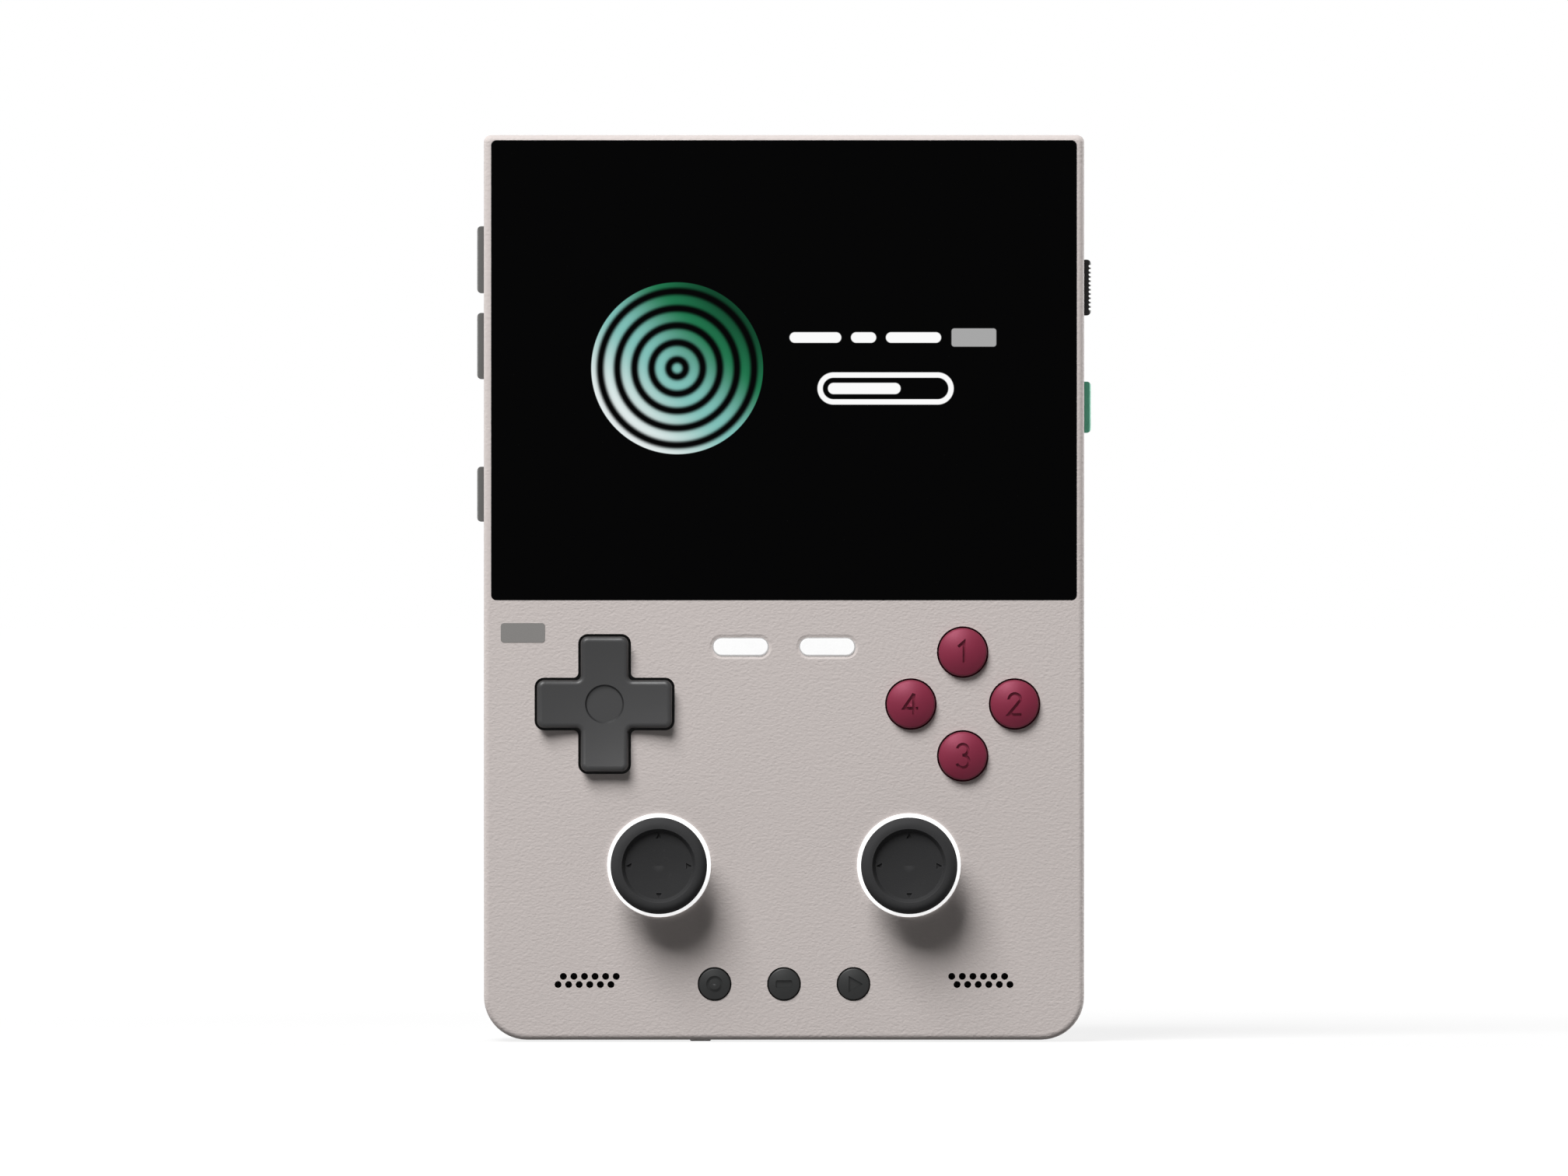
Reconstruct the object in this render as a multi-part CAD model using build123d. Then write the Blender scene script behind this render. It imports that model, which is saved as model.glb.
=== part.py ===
from build123d import *
import os
from math import cos, hypot, radians, sin, sqrt

# A handheld game console that stands on its flat bottom edge, in millimetres.
# The pieces are drawn looking at the front face: x runs right, y runs up from the bottom edge
# and z comes out of the face, which lies at z = 0. The last function stands them upright.

# Case
case_width = 86.0
case_depth = 21.0
front_depth = 6.5
face_wall = 1.8
side_wall = 1.6
rear_wall = 1.8
bottom_corner = 6.2
top_corner = 1.0
inner_corner = 0.4
front_round = 0.8
rear_round = 0.9
parting_chamfer = 0.25
seam_gap = 0.1
lip_root = 1.0
lip_height = 1.0
lip_wall = 0.7
overrun = 1.0

# Snap ridges along the top edge
ridge_count = 3
ridge_pitch = 26.0
ridge_width = 6.0
ridge_depth = 0.6
ridge_rise = 0.4

# Screen
glass_side_border = 1.1
glass_top_border = 0.8
glass_height = 65.8
glass_thickness = 1.2
glass_corner = 0.7
glass_gap = 0.06
panel_side_margin = 0.9
panel_end_margin = 1.1
panel_thickness = 2.4
panel_gap = 0.2
adhesive_thickness = 0.15
foam_thickness = 0.3
foam_margin = 2.0
plate_thickness = 0.8
plate_gap = 0.4
crossbar_thickness = 2.2
crossbar_gap = 0.3
crossbar_clearance = 0.3

# Control rows, each a rise above the row below it, with the glass above the last one
function_row_y = 8.0
speaker_row_rise = 0.5
stick_row_rise = 17.0
control_row_rise = 23.1
glass_rise = 14.9
pill_row_drop = 6.7

# Columns, each an inset from the side of the case or a share of half its width
dpad_side_inset = 17.3
buttons_side_inset = 17.4
stick_side_inset = 25.1
speaker_side_inset = 14.8
pill_side_share = 0.1442
function_pitch = 9.95

# Direction pad
dpad_span = 19.3
dpad_arm = 6.8
dpad_corner = 1.0
dpad_crease = 0.7
dpad_gap = 0.38
dpad_rise = 2.2
dpad_edge = 0.65
dpad_hollow = 1.0
dpad_dish_radius = 2.75
dpad_dish_depth = 0.35
dpad_dish_slope = 0.2
dpad_tilt = 4.0
dpad_flange_margin = 0.6
dpad_flange_thickness = 0.8
dpad_stop_gap = 0.15
dpad_pivot_depth = 2.2
dpad_ball_radius = 1.2
dpad_well_radius = 2.2
dpad_post_radius = 0.9
dpad_membrane_radius = 11.5
dpad_dome_circle = 7.0

# Face buttons
button_radius = 3.45
button_gap = 0.25
button_pitch = 7.43
button_rise = 1.8
button_edge = 0.45
button_dome = 0.95
button_travel = 0.9
button_membrane_radius = 12.2
numeral_height = 3.0
numeral_stroke = 0.42
numeral_depth = 0.55

# Pill keys
pill_length = 7.8
pill_width = 2.4
pill_gap = 0.15
pill_bevel = 0.42
pill_bevel_depth = 0.14
pill_rise = 0.1
pill_edge = 0.1
pill_travel = 0.4
pill_stem_radius = 0.9

# Function keys
function_radius = 2.25
function_gap = 0.18
function_rise = 0.55
function_dome = 0.32
function_edge = 0.22
function_travel = 0.5
function_membrane_width = 5.2
function_membrane_margin = 3.4
glyph_size = 2.35
glyph_stroke = 0.38
glyph_bar_height = 1.1
glyph_corner = 0.2
glyph_depth = 0.36

# Flanges that hold the keys behind the wall, and the rubber domes under them
flange_gap = 0.1
flange_margin = 0.7
flange_thickness = 0.7
membrane_thickness = 0.6
dome_base_radius = 2.1
dome_top_radius = 1.3
contact_gap = 0.1

# Thumbsticks
stick_pivot_depth = 5.4
stick_click = 0.25
stem_radius = 1.2
stem_foot_radius = 1.9
dome_radius = 6.3
dome_wall = 0.7
dome_angle = 50.0
dome_middle_share = 0.8
neck_radius = 3.2
neck_flare = 0.8
cap_radius = 6.9
cap_underside = 4.4
cap_top = 7.2
cap_edge = 1.3
cap_underedge = 0.5
cap_dish_radius = 5.3
cap_dish_depth = 0.75
cap_dish_slope = 0.5
cap_dish_hollow = 0.4
arrow_circle = 4.3
arrow_half_width = 0.42
arrow_height = 0.8
arrow_depth = 0.32
gimbal_height = 1.6
rocker_radius = 2.9
rocker_bore_gap = 0.05
yoke_inner_radius = 3.7
yoke_outer_radius = 4.9
yoke_pin_radius = 0.5
rocker_pin_radius = 0.45
pin_gap = 0.05
pin_end_gap = 0.1
housing_inner_radius = 5.6
housing_outer_radius = 6.3
housing_rise = 0.95
housing_floor_depth = 2.5
click_dome_radius = 1.5
click_dome_gap = 0.05
base_size = 14.6
base_corner = 1.0
base_thickness = 0.8

# Light rings
ring_radius = 7.4
ring_inner_radius = 6.25
ring_rise = 0.35
ring_edge = 0.15
ring_gap = 0.05
ring_flange_radius = 8.4
ring_flange_thickness = 0.8
ring_tube_inner_radius = 6.7

# Boards
board_gap = 0.4
board_thickness = 1.2
board_depth = 6.6
board_top_drop = 2.0
board_hole_radius = 6.6
standoff_radius = 1.8
standoff_middle_drop = 4.1
standoff_reach = 7.0
standoff_side_inset = 7.5
board_screw_radius = 0.7
board_screw_head_radius = 1.6
board_screw_head = 1.0
board_screw_length = 5.0
screw_gap = 0.05

# Case screws: a front boss and a rear tube meet at each
case_screw_inset = 4.4
case_screw_high_drop = 3.5
case_screw_low_drop = 6.0
case_boss_radius = 2.2
case_boss_reach = 9.0
case_boss_gap = 0.3
case_tube_radius = 3.0
case_tube_floor = 1.4
case_screw_radius = 1.0
case_screw_length = 7.0
case_screw_head_radius = 1.9
case_screw_head = 1.2
case_head_gap = 0.2
screw_socket_radius = 0.8
screw_socket_depth = 0.6

# Battery, shield, chips and vibration motor
battery_side_room = 10.0
battery_top_room = 6.0
battery_thickness = 8.4
battery_bottom_y = 20.0
battery_corner = 1.0
tray_rib_thickness = 1.2
tray_rib_height = 3.0
tray_rib_length = 12.0
tray_gap = 0.3
shield_side_gap = 1.6
shield_end_gap = 3.0
shield_thickness = 1.8
chip_thickness = 1.1
motor_radius = 5.0
motor_thickness = 3.0
motor_rise = 12.0

# Speakers
speaker_width = 15.0
speaker_height = 10.0
speaker_corner = 2.0
mesh_thickness = 0.2
speaker_hole_radius = 0.5
speaker_hole_pitch = 1.515
speaker_hole_count = 6
speaker_line_gap = 1.17
speaker_line_shift = 0.38
mesh_margin = 0.6

# USB-C socket
usb_width = 8.94
usb_thickness = 3.26
usb_length = 7.35
usb_shell = 0.3
usb_corner = 1.5
usb_inset = 0.4
usb_back = 0.8
usb_tongue_width = 6.69
usb_tongue_thickness = 0.7
usb_tongue_setback = 0.8
usb_wall_gap = 0.15

# Headphone socket
jack_side_inset = 27.0
jack_size = 6.0
jack_bore_radius = 1.78
jack_bore_length = 13.0
jack_back = 1.0
jack_collar_radius = 2.6
jack_collar_inset = 0.15
jack_wall_gap = 0.1

# Memory card and its socket
card_side_inset = 18.0
card_width = 11.0
card_length = 15.0
card_thickness = 0.8
card_inset = 0.3
card_gap = 0.15
card_slot_gap = 0.3
card_socket_wall = 0.5
card_socket_stop = 0.6
card_socket_inset = 0.3

# Reset key and its switch
reset_width = 3.0
reset_thickness = 1.4
reset_depth = 5.2
reset_rise = 0.25
reset_edge = 0.2
reset_travel = 0.3
reset_margin = 0.5
reset_flange = 0.6
reset_switch_end_y = 5.0
reset_switch_width = 3.6
reset_switch_height = 1.8

# Side keys, power key and ribbed slide key
side_key_depth = 11.0
side_key_width = 3.6
side_key_rise = 1.1
side_key_edge = 0.6
side_key_gap = 0.12
side_key_margin = 0.8
side_key_flange = 0.8
side_key_play = 0.05
side_key_travel = 0.3
upper_key_drop = 17.7
upper_key_length = 9.6
middle_key_drop = 30.1
middle_key_length = 9.5
lower_key_share = 0.231
lower_key_length = 7.9
power_key_drop = 38.9
power_key_length = 7.35
slider_drop = 21.7
slider_length = 8.0
slider_travel = 2.0
slider_notch_count = 11
slider_notch_pitch = 0.615
slider_notch_radius = 0.2
slider_notch_depth = 0.32
slider_peg_radius = 0.8
slider_peg_length = 1.4
slide_switch_length = 8.0
slide_switch_gap = 0.2
side_board_setback = 3.4
side_board_thickness = 0.8
side_board_front = 8.8
side_board_margin = 1.8
switch_length = 4.0
switch_width = 3.4

# Hump on the back with two bumpers and two triggers
hump_side_inset = 2.0
hump_top_inset = 1.6
hump_height = 25.0
hump_rise = 3.2
hump_corner = 3.0
hump_round = 1.0
bumper_share = 0.4146
bumper_height = 17.4
bumper_rise = 2.6
bumper_corner = 2.0
bumper_edge = 0.7
bumper_travel = 0.8
bumper_stem_radius = 1.5
key_window_gap = 0.3
trigger_middle_side = 4.3
trigger_reach = 17.9
trigger_lip = 0.9
trigger_lip_thickness = 1.1
trigger_barrel_radius = 1.2
trigger_edge = 0.6
trigger_shoulder = 1.8
trigger_start_rise = 0.3
trigger_turn = 6.0
trigger_switch_share = 2 / 3
trigger_pin_radius = 0.7
ear_thickness = 1.3
ear_gap = 0.25
ear_margin = 1.6
shoulder_board_thickness = 1.0
shoulder_board_depth = 15.0
shoulder_board_edge = 0.8
shoulder_switch_size = 6.0
shoulder_switch_height = 2.0
shoulder_button_radius = 1.6
shoulder_post_radius = 2.0
press_post_radius = 1.5
press_post_inset = 9.0
press_post_low_drop = 45.6
press_post_high_drop = 29.1

# Places worked out from the sizes above
speaker_row_y = function_row_y + speaker_row_rise
stick_row_y = function_row_y + stick_row_rise
control_row_y = stick_row_y + control_row_rise
chin_height = control_row_y + glass_rise
pill_row_y = chin_height - pill_row_drop
case_height = chin_height + glass_height + glass_top_border

half_width = case_width / 2
dpad_side = half_width - dpad_side_inset
buttons_side = half_width - buttons_side_inset
stick_side = half_width - stick_side_inset
speaker_side = half_width - speaker_side_inset
pill_side = half_width * pill_side_share
jack_x = half_width - jack_side_inset
card_x = card_side_inset - half_width
reset_x = (card_x + card_width / 2 - usb_width / 2) / 2

upper_key_y = case_height - upper_key_drop
middle_key_y = case_height - middle_key_drop
lower_key_y = chin_height + lower_key_share * glass_height
power_key_y = case_height - power_key_drop
slider_y = case_height - slider_drop
press_post_low_y = case_height - press_post_low_drop
press_post_high_y = case_height - press_post_high_drop
battery_width = case_width - 2 * battery_side_room
battery_top_y = press_post_low_y - battery_top_room

inner_half = half_width - side_wall
inner_top_y = case_height - side_wall
wall_z = -face_wall
parting_z = -front_depth
back_z = -case_depth
floor_z = back_z + rear_wall
lip_outset = side_wall + seam_gap
lip_inset = lip_outset + lip_wall
lip_top_z = parting_z + lip_height

glass_width = case_width - 2 * glass_side_border
glass_y = chin_height + glass_height / 2
panel_width = glass_width - 2 * panel_side_margin
panel_height = glass_height - 2 * panel_end_margin
window_width = panel_width + 2 * panel_gap
window_height = panel_height + 2 * panel_gap
panel_top_z = -glass_thickness - adhesive_thickness
panel_back_z = panel_top_z - panel_thickness
plate_top_z = panel_back_z - foam_thickness
plate_back_z = plate_top_z - plate_thickness
plate_bottom_y = glass_y - window_height / 2
crossbar_top_y = plate_bottom_y - crossbar_gap

board_top_y = chin_height - board_top_drop
board_top_z = -board_depth
board_back_z = board_top_z - board_thickness
membrane_top_z = board_top_z + membrane_thickness
flange_top_z = wall_z - flange_gap
flange_back_z = flange_top_z - flange_thickness

sides = {"left": -1, "right": 1}


def span_box(x_span, y_span, z_span):
    """Box between two limits along each axis."""
    spans = (x_span, y_span, z_span)
    middles = [(low + high) / 2 for low, high in spans]
    sizes = [high - low for low, high in spans]
    return Pos(*middles) * Box(*sizes)


def around(middle, width):
    """Limits that lie evenly about a middle."""
    return middle - width / 2, middle + width / 2


def peg(x, y, radius, low_z, high_z):
    """Round peg along the depth."""
    return Pos(x, y, (low_z + high_z) / 2) * Cylinder(radius, high_z - low_z)


def peg_along_x(y, z, radius, low_x, high_x):
    """Round peg across the console."""
    return Pos((low_x + high_x) / 2, y, z) * Rot(0, 90, 0) * Cylinder(radius, high_x - low_x)


def peg_along_y(x, z, radius, low_y, high_y):
    """Round peg along the height."""
    return Pos(x, (low_y + high_y) / 2, z) * Rot(90, 0, 0) * Cylinder(radius, high_y - low_y)


def prism(outline, x, y, low_z, high_z):
    """Flat outline made solid between two depths."""
    return Pos(x, y, low_z) * extrude(outline, high_z - low_z)


def top_edges(solid):
    """Edges of the face that lies furthest forward."""
    return solid.faces().sort_by(Axis.Z)[-1].edges()


def low_edges(solid):
    """Edges of the face that lies furthest back."""
    return solid.faces().sort_by(Axis.Z)[0].edges()


def case_outline(inset):
    """Outline of the case, drawn in by an inset."""
    outline = Pos(0, case_height / 2) * Rectangle(case_width - 2 * inset, case_height - 2 * inset)
    top_points = outline.vertices().group_by(Axis.Y)[-1]
    outline = fillet(top_points, max(top_corner - inset, inner_corner))
    bottom_points = outline.vertices().group_by(Axis.Y)[0]
    return fillet(bottom_points, max(bottom_corner - inset, inner_corner))


def case_ring(outer_inset, inner_inset, low_z, high_z):
    """Band that follows the case's outline."""
    outer = prism(case_outline(outer_inset), 0, 0, low_z, high_z)
    return outer - prism(case_outline(inner_inset), 0, 0, low_z - overrun, high_z + overrun)


# Screen places and pieces


def cover_glass():
    glass = prism(RectangleRounded(glass_width, glass_height, glass_corner), 0, glass_y, -glass_thickness, 0)
    return glass


def panel_layer(margin, low_z, high_z):
    """Rectangular layer of the screen stack, smaller than the panel by a margin."""
    width = panel_width - 2 * margin
    height = panel_height - 2 * margin
    return span_box(around(0, width), around(glass_y, height), (low_z, high_z))


def optical_adhesive():
    return panel_layer(0, panel_top_z, -glass_thickness)


def lcd_panel():
    return panel_layer(0, panel_back_z, panel_top_z)


def screen_foam():
    outer = panel_layer(0, plate_top_z, panel_back_z)
    return outer - panel_layer(foam_margin, plate_top_z - overrun, panel_back_z + overrun)


def mid_plate():
    half = inner_half - plate_gap
    return span_box((-half, half), (plate_bottom_y, inner_top_y - plate_gap), (plate_back_z, plate_top_z))


# Places of the repeated controls


def button_places():
    """Face button centres by name."""
    return {
        "top": (buttons_side, control_row_y + button_pitch),
        "right": (buttons_side + button_pitch, control_row_y),
        "bottom": (buttons_side, control_row_y - button_pitch),
        "left": (buttons_side - button_pitch, control_row_y),
    }


def function_places():
    """Function key centres by name."""
    return {
        "left": (-function_pitch, function_row_y),
        "middle": (0, function_row_y),
        "right": (function_pitch, function_row_y),
    }


def dpad_dome_places():
    """Dome centres under the arms of the direction pad."""
    steps = ((0, 1), (1, 0), (0, -1), (-1, 0))
    return [
        (-dpad_side + dpad_dome_circle * x, control_row_y + dpad_dome_circle * y) for x, y in steps
    ]


def case_screw_places():
    """The four case screws."""
    x = half_width - case_screw_inset
    heights = (stick_row_y - case_screw_low_drop, chin_height - case_screw_high_drop)
    return [(side * x, y) for side in (-1, 1) for y in heights]


def standoff_places():
    """The four posts that carry the main board."""
    side = half_width - standoff_side_inset
    return [
        (0, control_row_y - standoff_middle_drop),
        (0, stick_row_y - standoff_reach),
        (-side, stick_row_y + standoff_reach),
        (side, stick_row_y + standoff_reach),
    ]


def speaker_hole_places(side):
    """Two staggered lines of holes over one speaker."""
    half_run = (speaker_hole_count - 1) * speaker_hole_pitch / 2
    places = []
    for line in (-1, 1):
        middle = side * speaker_side - side * line * speaker_line_shift
        y = speaker_row_y + line * speaker_line_gap / 2
        for number in range(speaker_hole_count):
            places.append((middle - half_run + number * speaker_hole_pitch, y))
    return places


# Direction pad


def cross_outline(span, arm, tip_corner, crease):
    """Cross with rounded arm tips and softened inner corners."""
    bars = Rectangle(span, arm) + Rectangle(arm, span)
    crease_points = [point for point in bars.vertices() if abs(abs(point.X) - abs(point.Y)) < arm / 4]
    outline = fillet(crease_points, crease)
    reach = span / 2 - arm / 4
    tips = [point for point in outline.vertices() if max(abs(point.X), abs(point.Y)) > reach]
    return fillet(tips, tip_corner)


dpad_hole_span = dpad_span + 2 * dpad_gap
dpad_hole_arm = dpad_arm + 2 * dpad_gap
dpad_flange_span = dpad_hole_span + 2 * dpad_flange_margin
dpad_flange_arm = dpad_hole_arm + 2 * dpad_flange_margin
dpad_flange_rise = (dpad_flange_span + dpad_flange_arm) / 2 * sin(radians(dpad_tilt))
dpad_flange_top_z = wall_z - dpad_stop_gap - dpad_flange_rise
dpad_flange_back_z = dpad_flange_top_z - dpad_flange_thickness
dpad_pivot_z = -dpad_pivot_depth
dpad_socket_radius = dpad_ball_radius + pin_gap
dpad_drop = (dpad_dome_circle + dome_top_radius) * sin(radians(dpad_tilt))


def dpad():
    """Rocking cross with a hollowed top, a round recess and a ball socket under its middle."""
    outline = cross_outline(dpad_span, dpad_arm, dpad_corner, dpad_crease)
    cap = prism(outline, 0, 0, dpad_flange_back_z, dpad_rise)
    hollow_reach = hypot(dpad_span, dpad_arm) / 2
    hollow_curve = (hollow_reach**2 + dpad_hollow**2) / (2 * dpad_hollow)
    # The sphere lies on its side, so that its poles stay clear of the recess
    cap -= Pos(0, 0, dpad_rise - dpad_hollow + hollow_curve) * Rot(90, 0, 0) * Sphere(hollow_curve)
    cap = fillet(top_edges(cap), dpad_edge)
    flange_outline = cross_outline(dpad_flange_span, dpad_flange_arm, dpad_corner, dpad_crease)
    pad = cap + prism(flange_outline, 0, 0, dpad_flange_back_z, dpad_flange_top_z)
    pad -= peg(0, 0, dpad_well_radius, dpad_flange_back_z - overrun, dpad_pivot_z)
    pad -= Pos(0, 0, dpad_pivot_z) * Sphere(dpad_socket_radius)
    dish_high_z = dpad_rise - dpad_hollow + dpad_dish_depth
    dish_low_z = dpad_rise - dpad_hollow - dpad_dish_depth
    dish_inner_radius = dpad_dish_radius - dpad_dish_slope
    dish = Cone(dish_inner_radius, dpad_dish_radius + dpad_dish_slope, dish_high_z - dish_low_z)
    pad -= Pos(0, 0, (dish_low_z + dish_high_z) / 2) * dish
    return Pos(-dpad_side, control_row_y, 0) * pad


def dpad_ball():
    return Pos(-dpad_side, control_row_y, dpad_pivot_z) * Sphere(dpad_ball_radius)


def dpad_post():
    """Post on the main board whose cupped top carries the ball."""
    top_z = dpad_pivot_z - dpad_post_radius
    post = peg(-dpad_side, control_row_y, dpad_post_radius, board_top_z, top_z)
    return post - Pos(-dpad_side, control_row_y, dpad_pivot_z) * Sphere(dpad_socket_radius)


def membrane_dome(x, y, top_z):
    """Rubber dome that stands on a membrane."""
    height = top_z - membrane_top_z
    return Pos(x, y, membrane_top_z + height / 2) * Cone(dome_base_radius, dome_top_radius, height)


def dpad_membrane():
    sheet = peg(-dpad_side, control_row_y, dpad_membrane_radius, board_top_z, membrane_top_z)
    for x, y in dpad_dome_places():
        sheet += membrane_dome(x, y, dpad_flange_back_z - dpad_drop - contact_gap)
    return sheet - peg(
        -dpad_side,
        control_row_y,
        dpad_post_radius + pin_gap,
        board_top_z - overrun,
        membrane_top_z + overrun,
    )


# Face buttons


def numeral_lines(number):
    """Centre lines of a plain numeral, with places as shares of its height."""
    one_shares = ((-0.22, 0.26), (0.06, 0.5), (0.06, -0.5))
    two_bowl_shares = ((-0.28, 0.22), (0, 0.5), (0.28, 0.2))
    two_foot_shares = ((0.28, 0.2), (-0.3, -0.5), (0.32, -0.5))
    three_upper_shares = ((-0.26, 0.36), (0.25, 0.26), (-0.02, 0.04))
    three_lower_shares = ((-0.02, 0.04), (0.29, -0.28), (-0.28, -0.36))
    four_bend_shares = ((0.14, 0.5), (-0.34, -0.2), (0.34, -0.2))
    four_stem_shares = ((0.14, 0.5), (0.14, -0.5))
    if number == 1:
        return [Polyline(*one_shares)]
    if number == 2:
        return [ThreePointArc(*two_bowl_shares), Polyline(*two_foot_shares)]
    if number == 3:
        return [ThreePointArc(*three_upper_shares), ThreePointArc(*three_lower_shares)]
    return [Polyline(*four_bend_shares), Line(*four_stem_shares)]


def numeral_outline(number):
    """Numeral drawn with an even stroke."""
    stroke = numeral_stroke / numeral_height
    outlines = [trace(line, stroke) for line in numeral_lines(number)]
    outline = outlines[0]
    for extra in outlines[1:]:
        outline += extra
    return scale(outline, by=numeral_height)


def face_button(place, number):
    """Round domed button with a plain numeral cut into its top."""
    x, y = button_places()[place]
    dome_curve = (button_radius**2 + button_dome**2) / (2 * button_dome)
    cap = peg(0, 0, button_radius, flange_back_z, button_rise)
    cap &= Pos(0, 0, button_rise - dome_curve) * Sphere(dome_curve)
    cap = fillet(top_edges(cap), button_edge)
    button = cap + peg(0, 0, button_radius + flange_margin, flange_back_z, flange_top_z)
    button -= prism(numeral_outline(number), 0, 0, button_rise - numeral_depth, button_rise + overrun)
    return Pos(x, y, 0) * button


def button_membrane():
    sheet = peg(buttons_side, control_row_y, button_membrane_radius, board_top_z, membrane_top_z)
    for x, y in button_places().values():
        sheet += membrane_dome(x, y, flange_back_z - button_travel - contact_gap)
    return sheet


# Pill keys


def pill_outline(margin):
    """Pill shape, larger than the key by a margin."""
    return SlotOverall(pill_length + 2 * margin, pill_width + 2 * margin)


pill_switch_top_z = board_top_z + reset_switch_height


def pill_key(side):
    """Lit key with a stem down to its switch."""
    cap = prism(pill_outline(0), 0, 0, flange_back_z, pill_rise)
    cap = fillet(top_edges(cap), pill_edge)
    key = cap + prism(pill_outline(pill_gap + flange_margin), 0, 0, flange_back_z, flange_top_z)
    stem_end_z = pill_switch_top_z + pill_travel + contact_gap
    key += peg(0, 0, pill_stem_radius, stem_end_z, flange_back_z)
    return Pos(sides[side] * pill_side, pill_row_y, 0) * key


# Function keys


def function_glyph(place):
    """Ring, bar or triangle cut into a function key."""
    if place == "left":
        return Circle(glyph_size / 2) - Circle(glyph_size / 2 - glyph_stroke)
    if place == "middle":
        return RectangleRounded(glyph_size, glyph_bar_height, glyph_corner)
    return RegularPolygon(glyph_size / sqrt(3), 3)


def function_key(place):
    """Small round key with a plain sign in its top."""
    x, y = function_places()[place]
    dome_curve = (function_radius**2 + function_dome**2) / (2 * function_dome)
    cap = peg(0, 0, function_radius, flange_back_z, function_rise)
    cap &= Pos(0, 0, function_rise - dome_curve) * Sphere(dome_curve)
    cap = fillet(top_edges(cap), function_edge)
    key = cap + peg(0, 0, function_radius + flange_margin, flange_back_z, flange_top_z)
    key -= prism(function_glyph(place), 0, 0, function_rise - glyph_depth, function_rise + overrun)
    return Pos(x, y, 0) * key


def function_membrane():
    length = 2 * (function_pitch + function_membrane_margin)
    sheet = prism(
        SlotOverall(length, function_membrane_width), 0, function_row_y, board_top_z, membrane_top_z
    )
    for x, y in function_places().values():
        sheet += membrane_dome(x, y, flange_back_z - function_travel - contact_gap)
    return sheet


# Thumbsticks

stick_pivot_z = -stick_pivot_depth
housing_floor_z = stick_pivot_z - housing_floor_depth
housing_top_z = stick_pivot_z + housing_rise
cap_low = stick_pivot_depth + cap_underside
cap_high = stick_pivot_depth + cap_top


def profile_point(radius, height):
    """Point of a turned profile, with heights counted from the pivot."""
    return radius, 0, height


def sphere_point(radius, angle):
    """Point on a sphere about the pivot, at an angle from the stick's axis."""
    return profile_point(radius * sin(radians(angle)), radius * cos(radians(angle)))


def sphere_height(sphere_radius, radius):
    """Height on a sphere about the pivot at a distance from the axis."""
    return sqrt(sphere_radius**2 - radius**2)


def turned(edges):
    """Solid turned about the axis from a closed profile."""
    return revolve(make_face(edges), Axis.Z)


def arrow_mark(turn):
    """Triangle in the dish that points outward, turned about the axis."""
    tip = arrow_circle + arrow_height / 2
    foot = arrow_circle - arrow_height / 2
    points = ((-arrow_half_width, foot), (arrow_half_width, foot), (0, tip))
    return Rot(0, 0, turn) * make_face(Polyline(*points, close=True))


def stick_profile():
    """Half section of the stick: ball foot, stem, dust dome, neck and dished cap."""
    inner_dome = dome_radius - dome_wall
    foot = profile_point(0, -stem_foot_radius)
    foot_side = profile_point(stem_radius, -sphere_height(stem_foot_radius, stem_radius))
    foot_half = stem_radius / 2
    foot_middle = profile_point(foot_half, -sphere_height(stem_foot_radius, foot_half))
    stem_top = profile_point(stem_radius, sphere_height(inner_dome, stem_radius))
    inner_edge = sphere_point(inner_dome, dome_angle)
    outer_edge = sphere_point(dome_radius, dome_angle)
    neck_foot = profile_point(neck_radius, sphere_height(dome_radius, neck_radius))
    neck_top = profile_point(neck_radius, cap_low - neck_flare)
    flare_end = profile_point(neck_radius + neck_flare, cap_low)
    under_edge = profile_point(cap_radius - cap_underedge, cap_low)
    rim_low = profile_point(cap_radius, cap_low + cap_underedge)
    rim_high = profile_point(cap_radius, cap_high - cap_edge)
    rim_bulge = cap_edge * (1 - sqrt(2) / 2)
    rim_middle = profile_point(cap_radius - rim_bulge, cap_high - rim_bulge)
    rim_top = profile_point(cap_radius - cap_edge, cap_high)
    dish_edge = profile_point(cap_dish_radius, cap_high)
    floor_radius = cap_dish_radius - cap_dish_slope
    floor_curve = (floor_radius**2 + cap_dish_hollow**2) / (2 * cap_dish_hollow)
    floor_half = floor_radius / 2
    middle_z = cap_high - cap_dish_depth - cap_dish_hollow
    half_z = middle_z + floor_curve - sphere_height(floor_curve, floor_half)
    dish_low = profile_point(floor_radius, cap_high - cap_dish_depth)
    dish_half = profile_point(floor_half, half_z)
    dish_middle = profile_point(0, middle_z)
    return [
        ThreePointArc(foot, foot_middle, foot_side),
        Line(foot_side, stem_top),
        ThreePointArc(stem_top, sphere_point(inner_dome, dome_angle / 2), inner_edge),
        Line(inner_edge, outer_edge),
        ThreePointArc(outer_edge, sphere_point(dome_radius, dome_middle_share * dome_angle), neck_foot),
        Line(neck_foot, neck_top),
        Line(neck_top, flare_end),
        Line(flare_end, under_edge),
        Line(under_edge, rim_low),
        Line(rim_low, rim_high),
        ThreePointArc(rim_high, rim_middle, rim_top),
        Line(rim_top, dish_edge),
        Line(dish_edge, dish_low),
        ThreePointArc(dish_low, dish_half, dish_middle),
        Line(dish_middle, foot),
    ]


def place_stick(piece, side):
    """Move a piece drawn about the pivot to its side of the console."""
    return Pos(sides[side] * stick_side, stick_row_y, stick_pivot_z) * piece


def stick(side):
    body = turned(stick_profile())
    dish_z = cap_high - cap_dish_depth
    for turn in (0, 90, 180, 270):
        body -= prism(arrow_mark(turn), 0, 0, dish_z - arrow_depth, dish_z + overrun)
    return place_stick(body, side)


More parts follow.
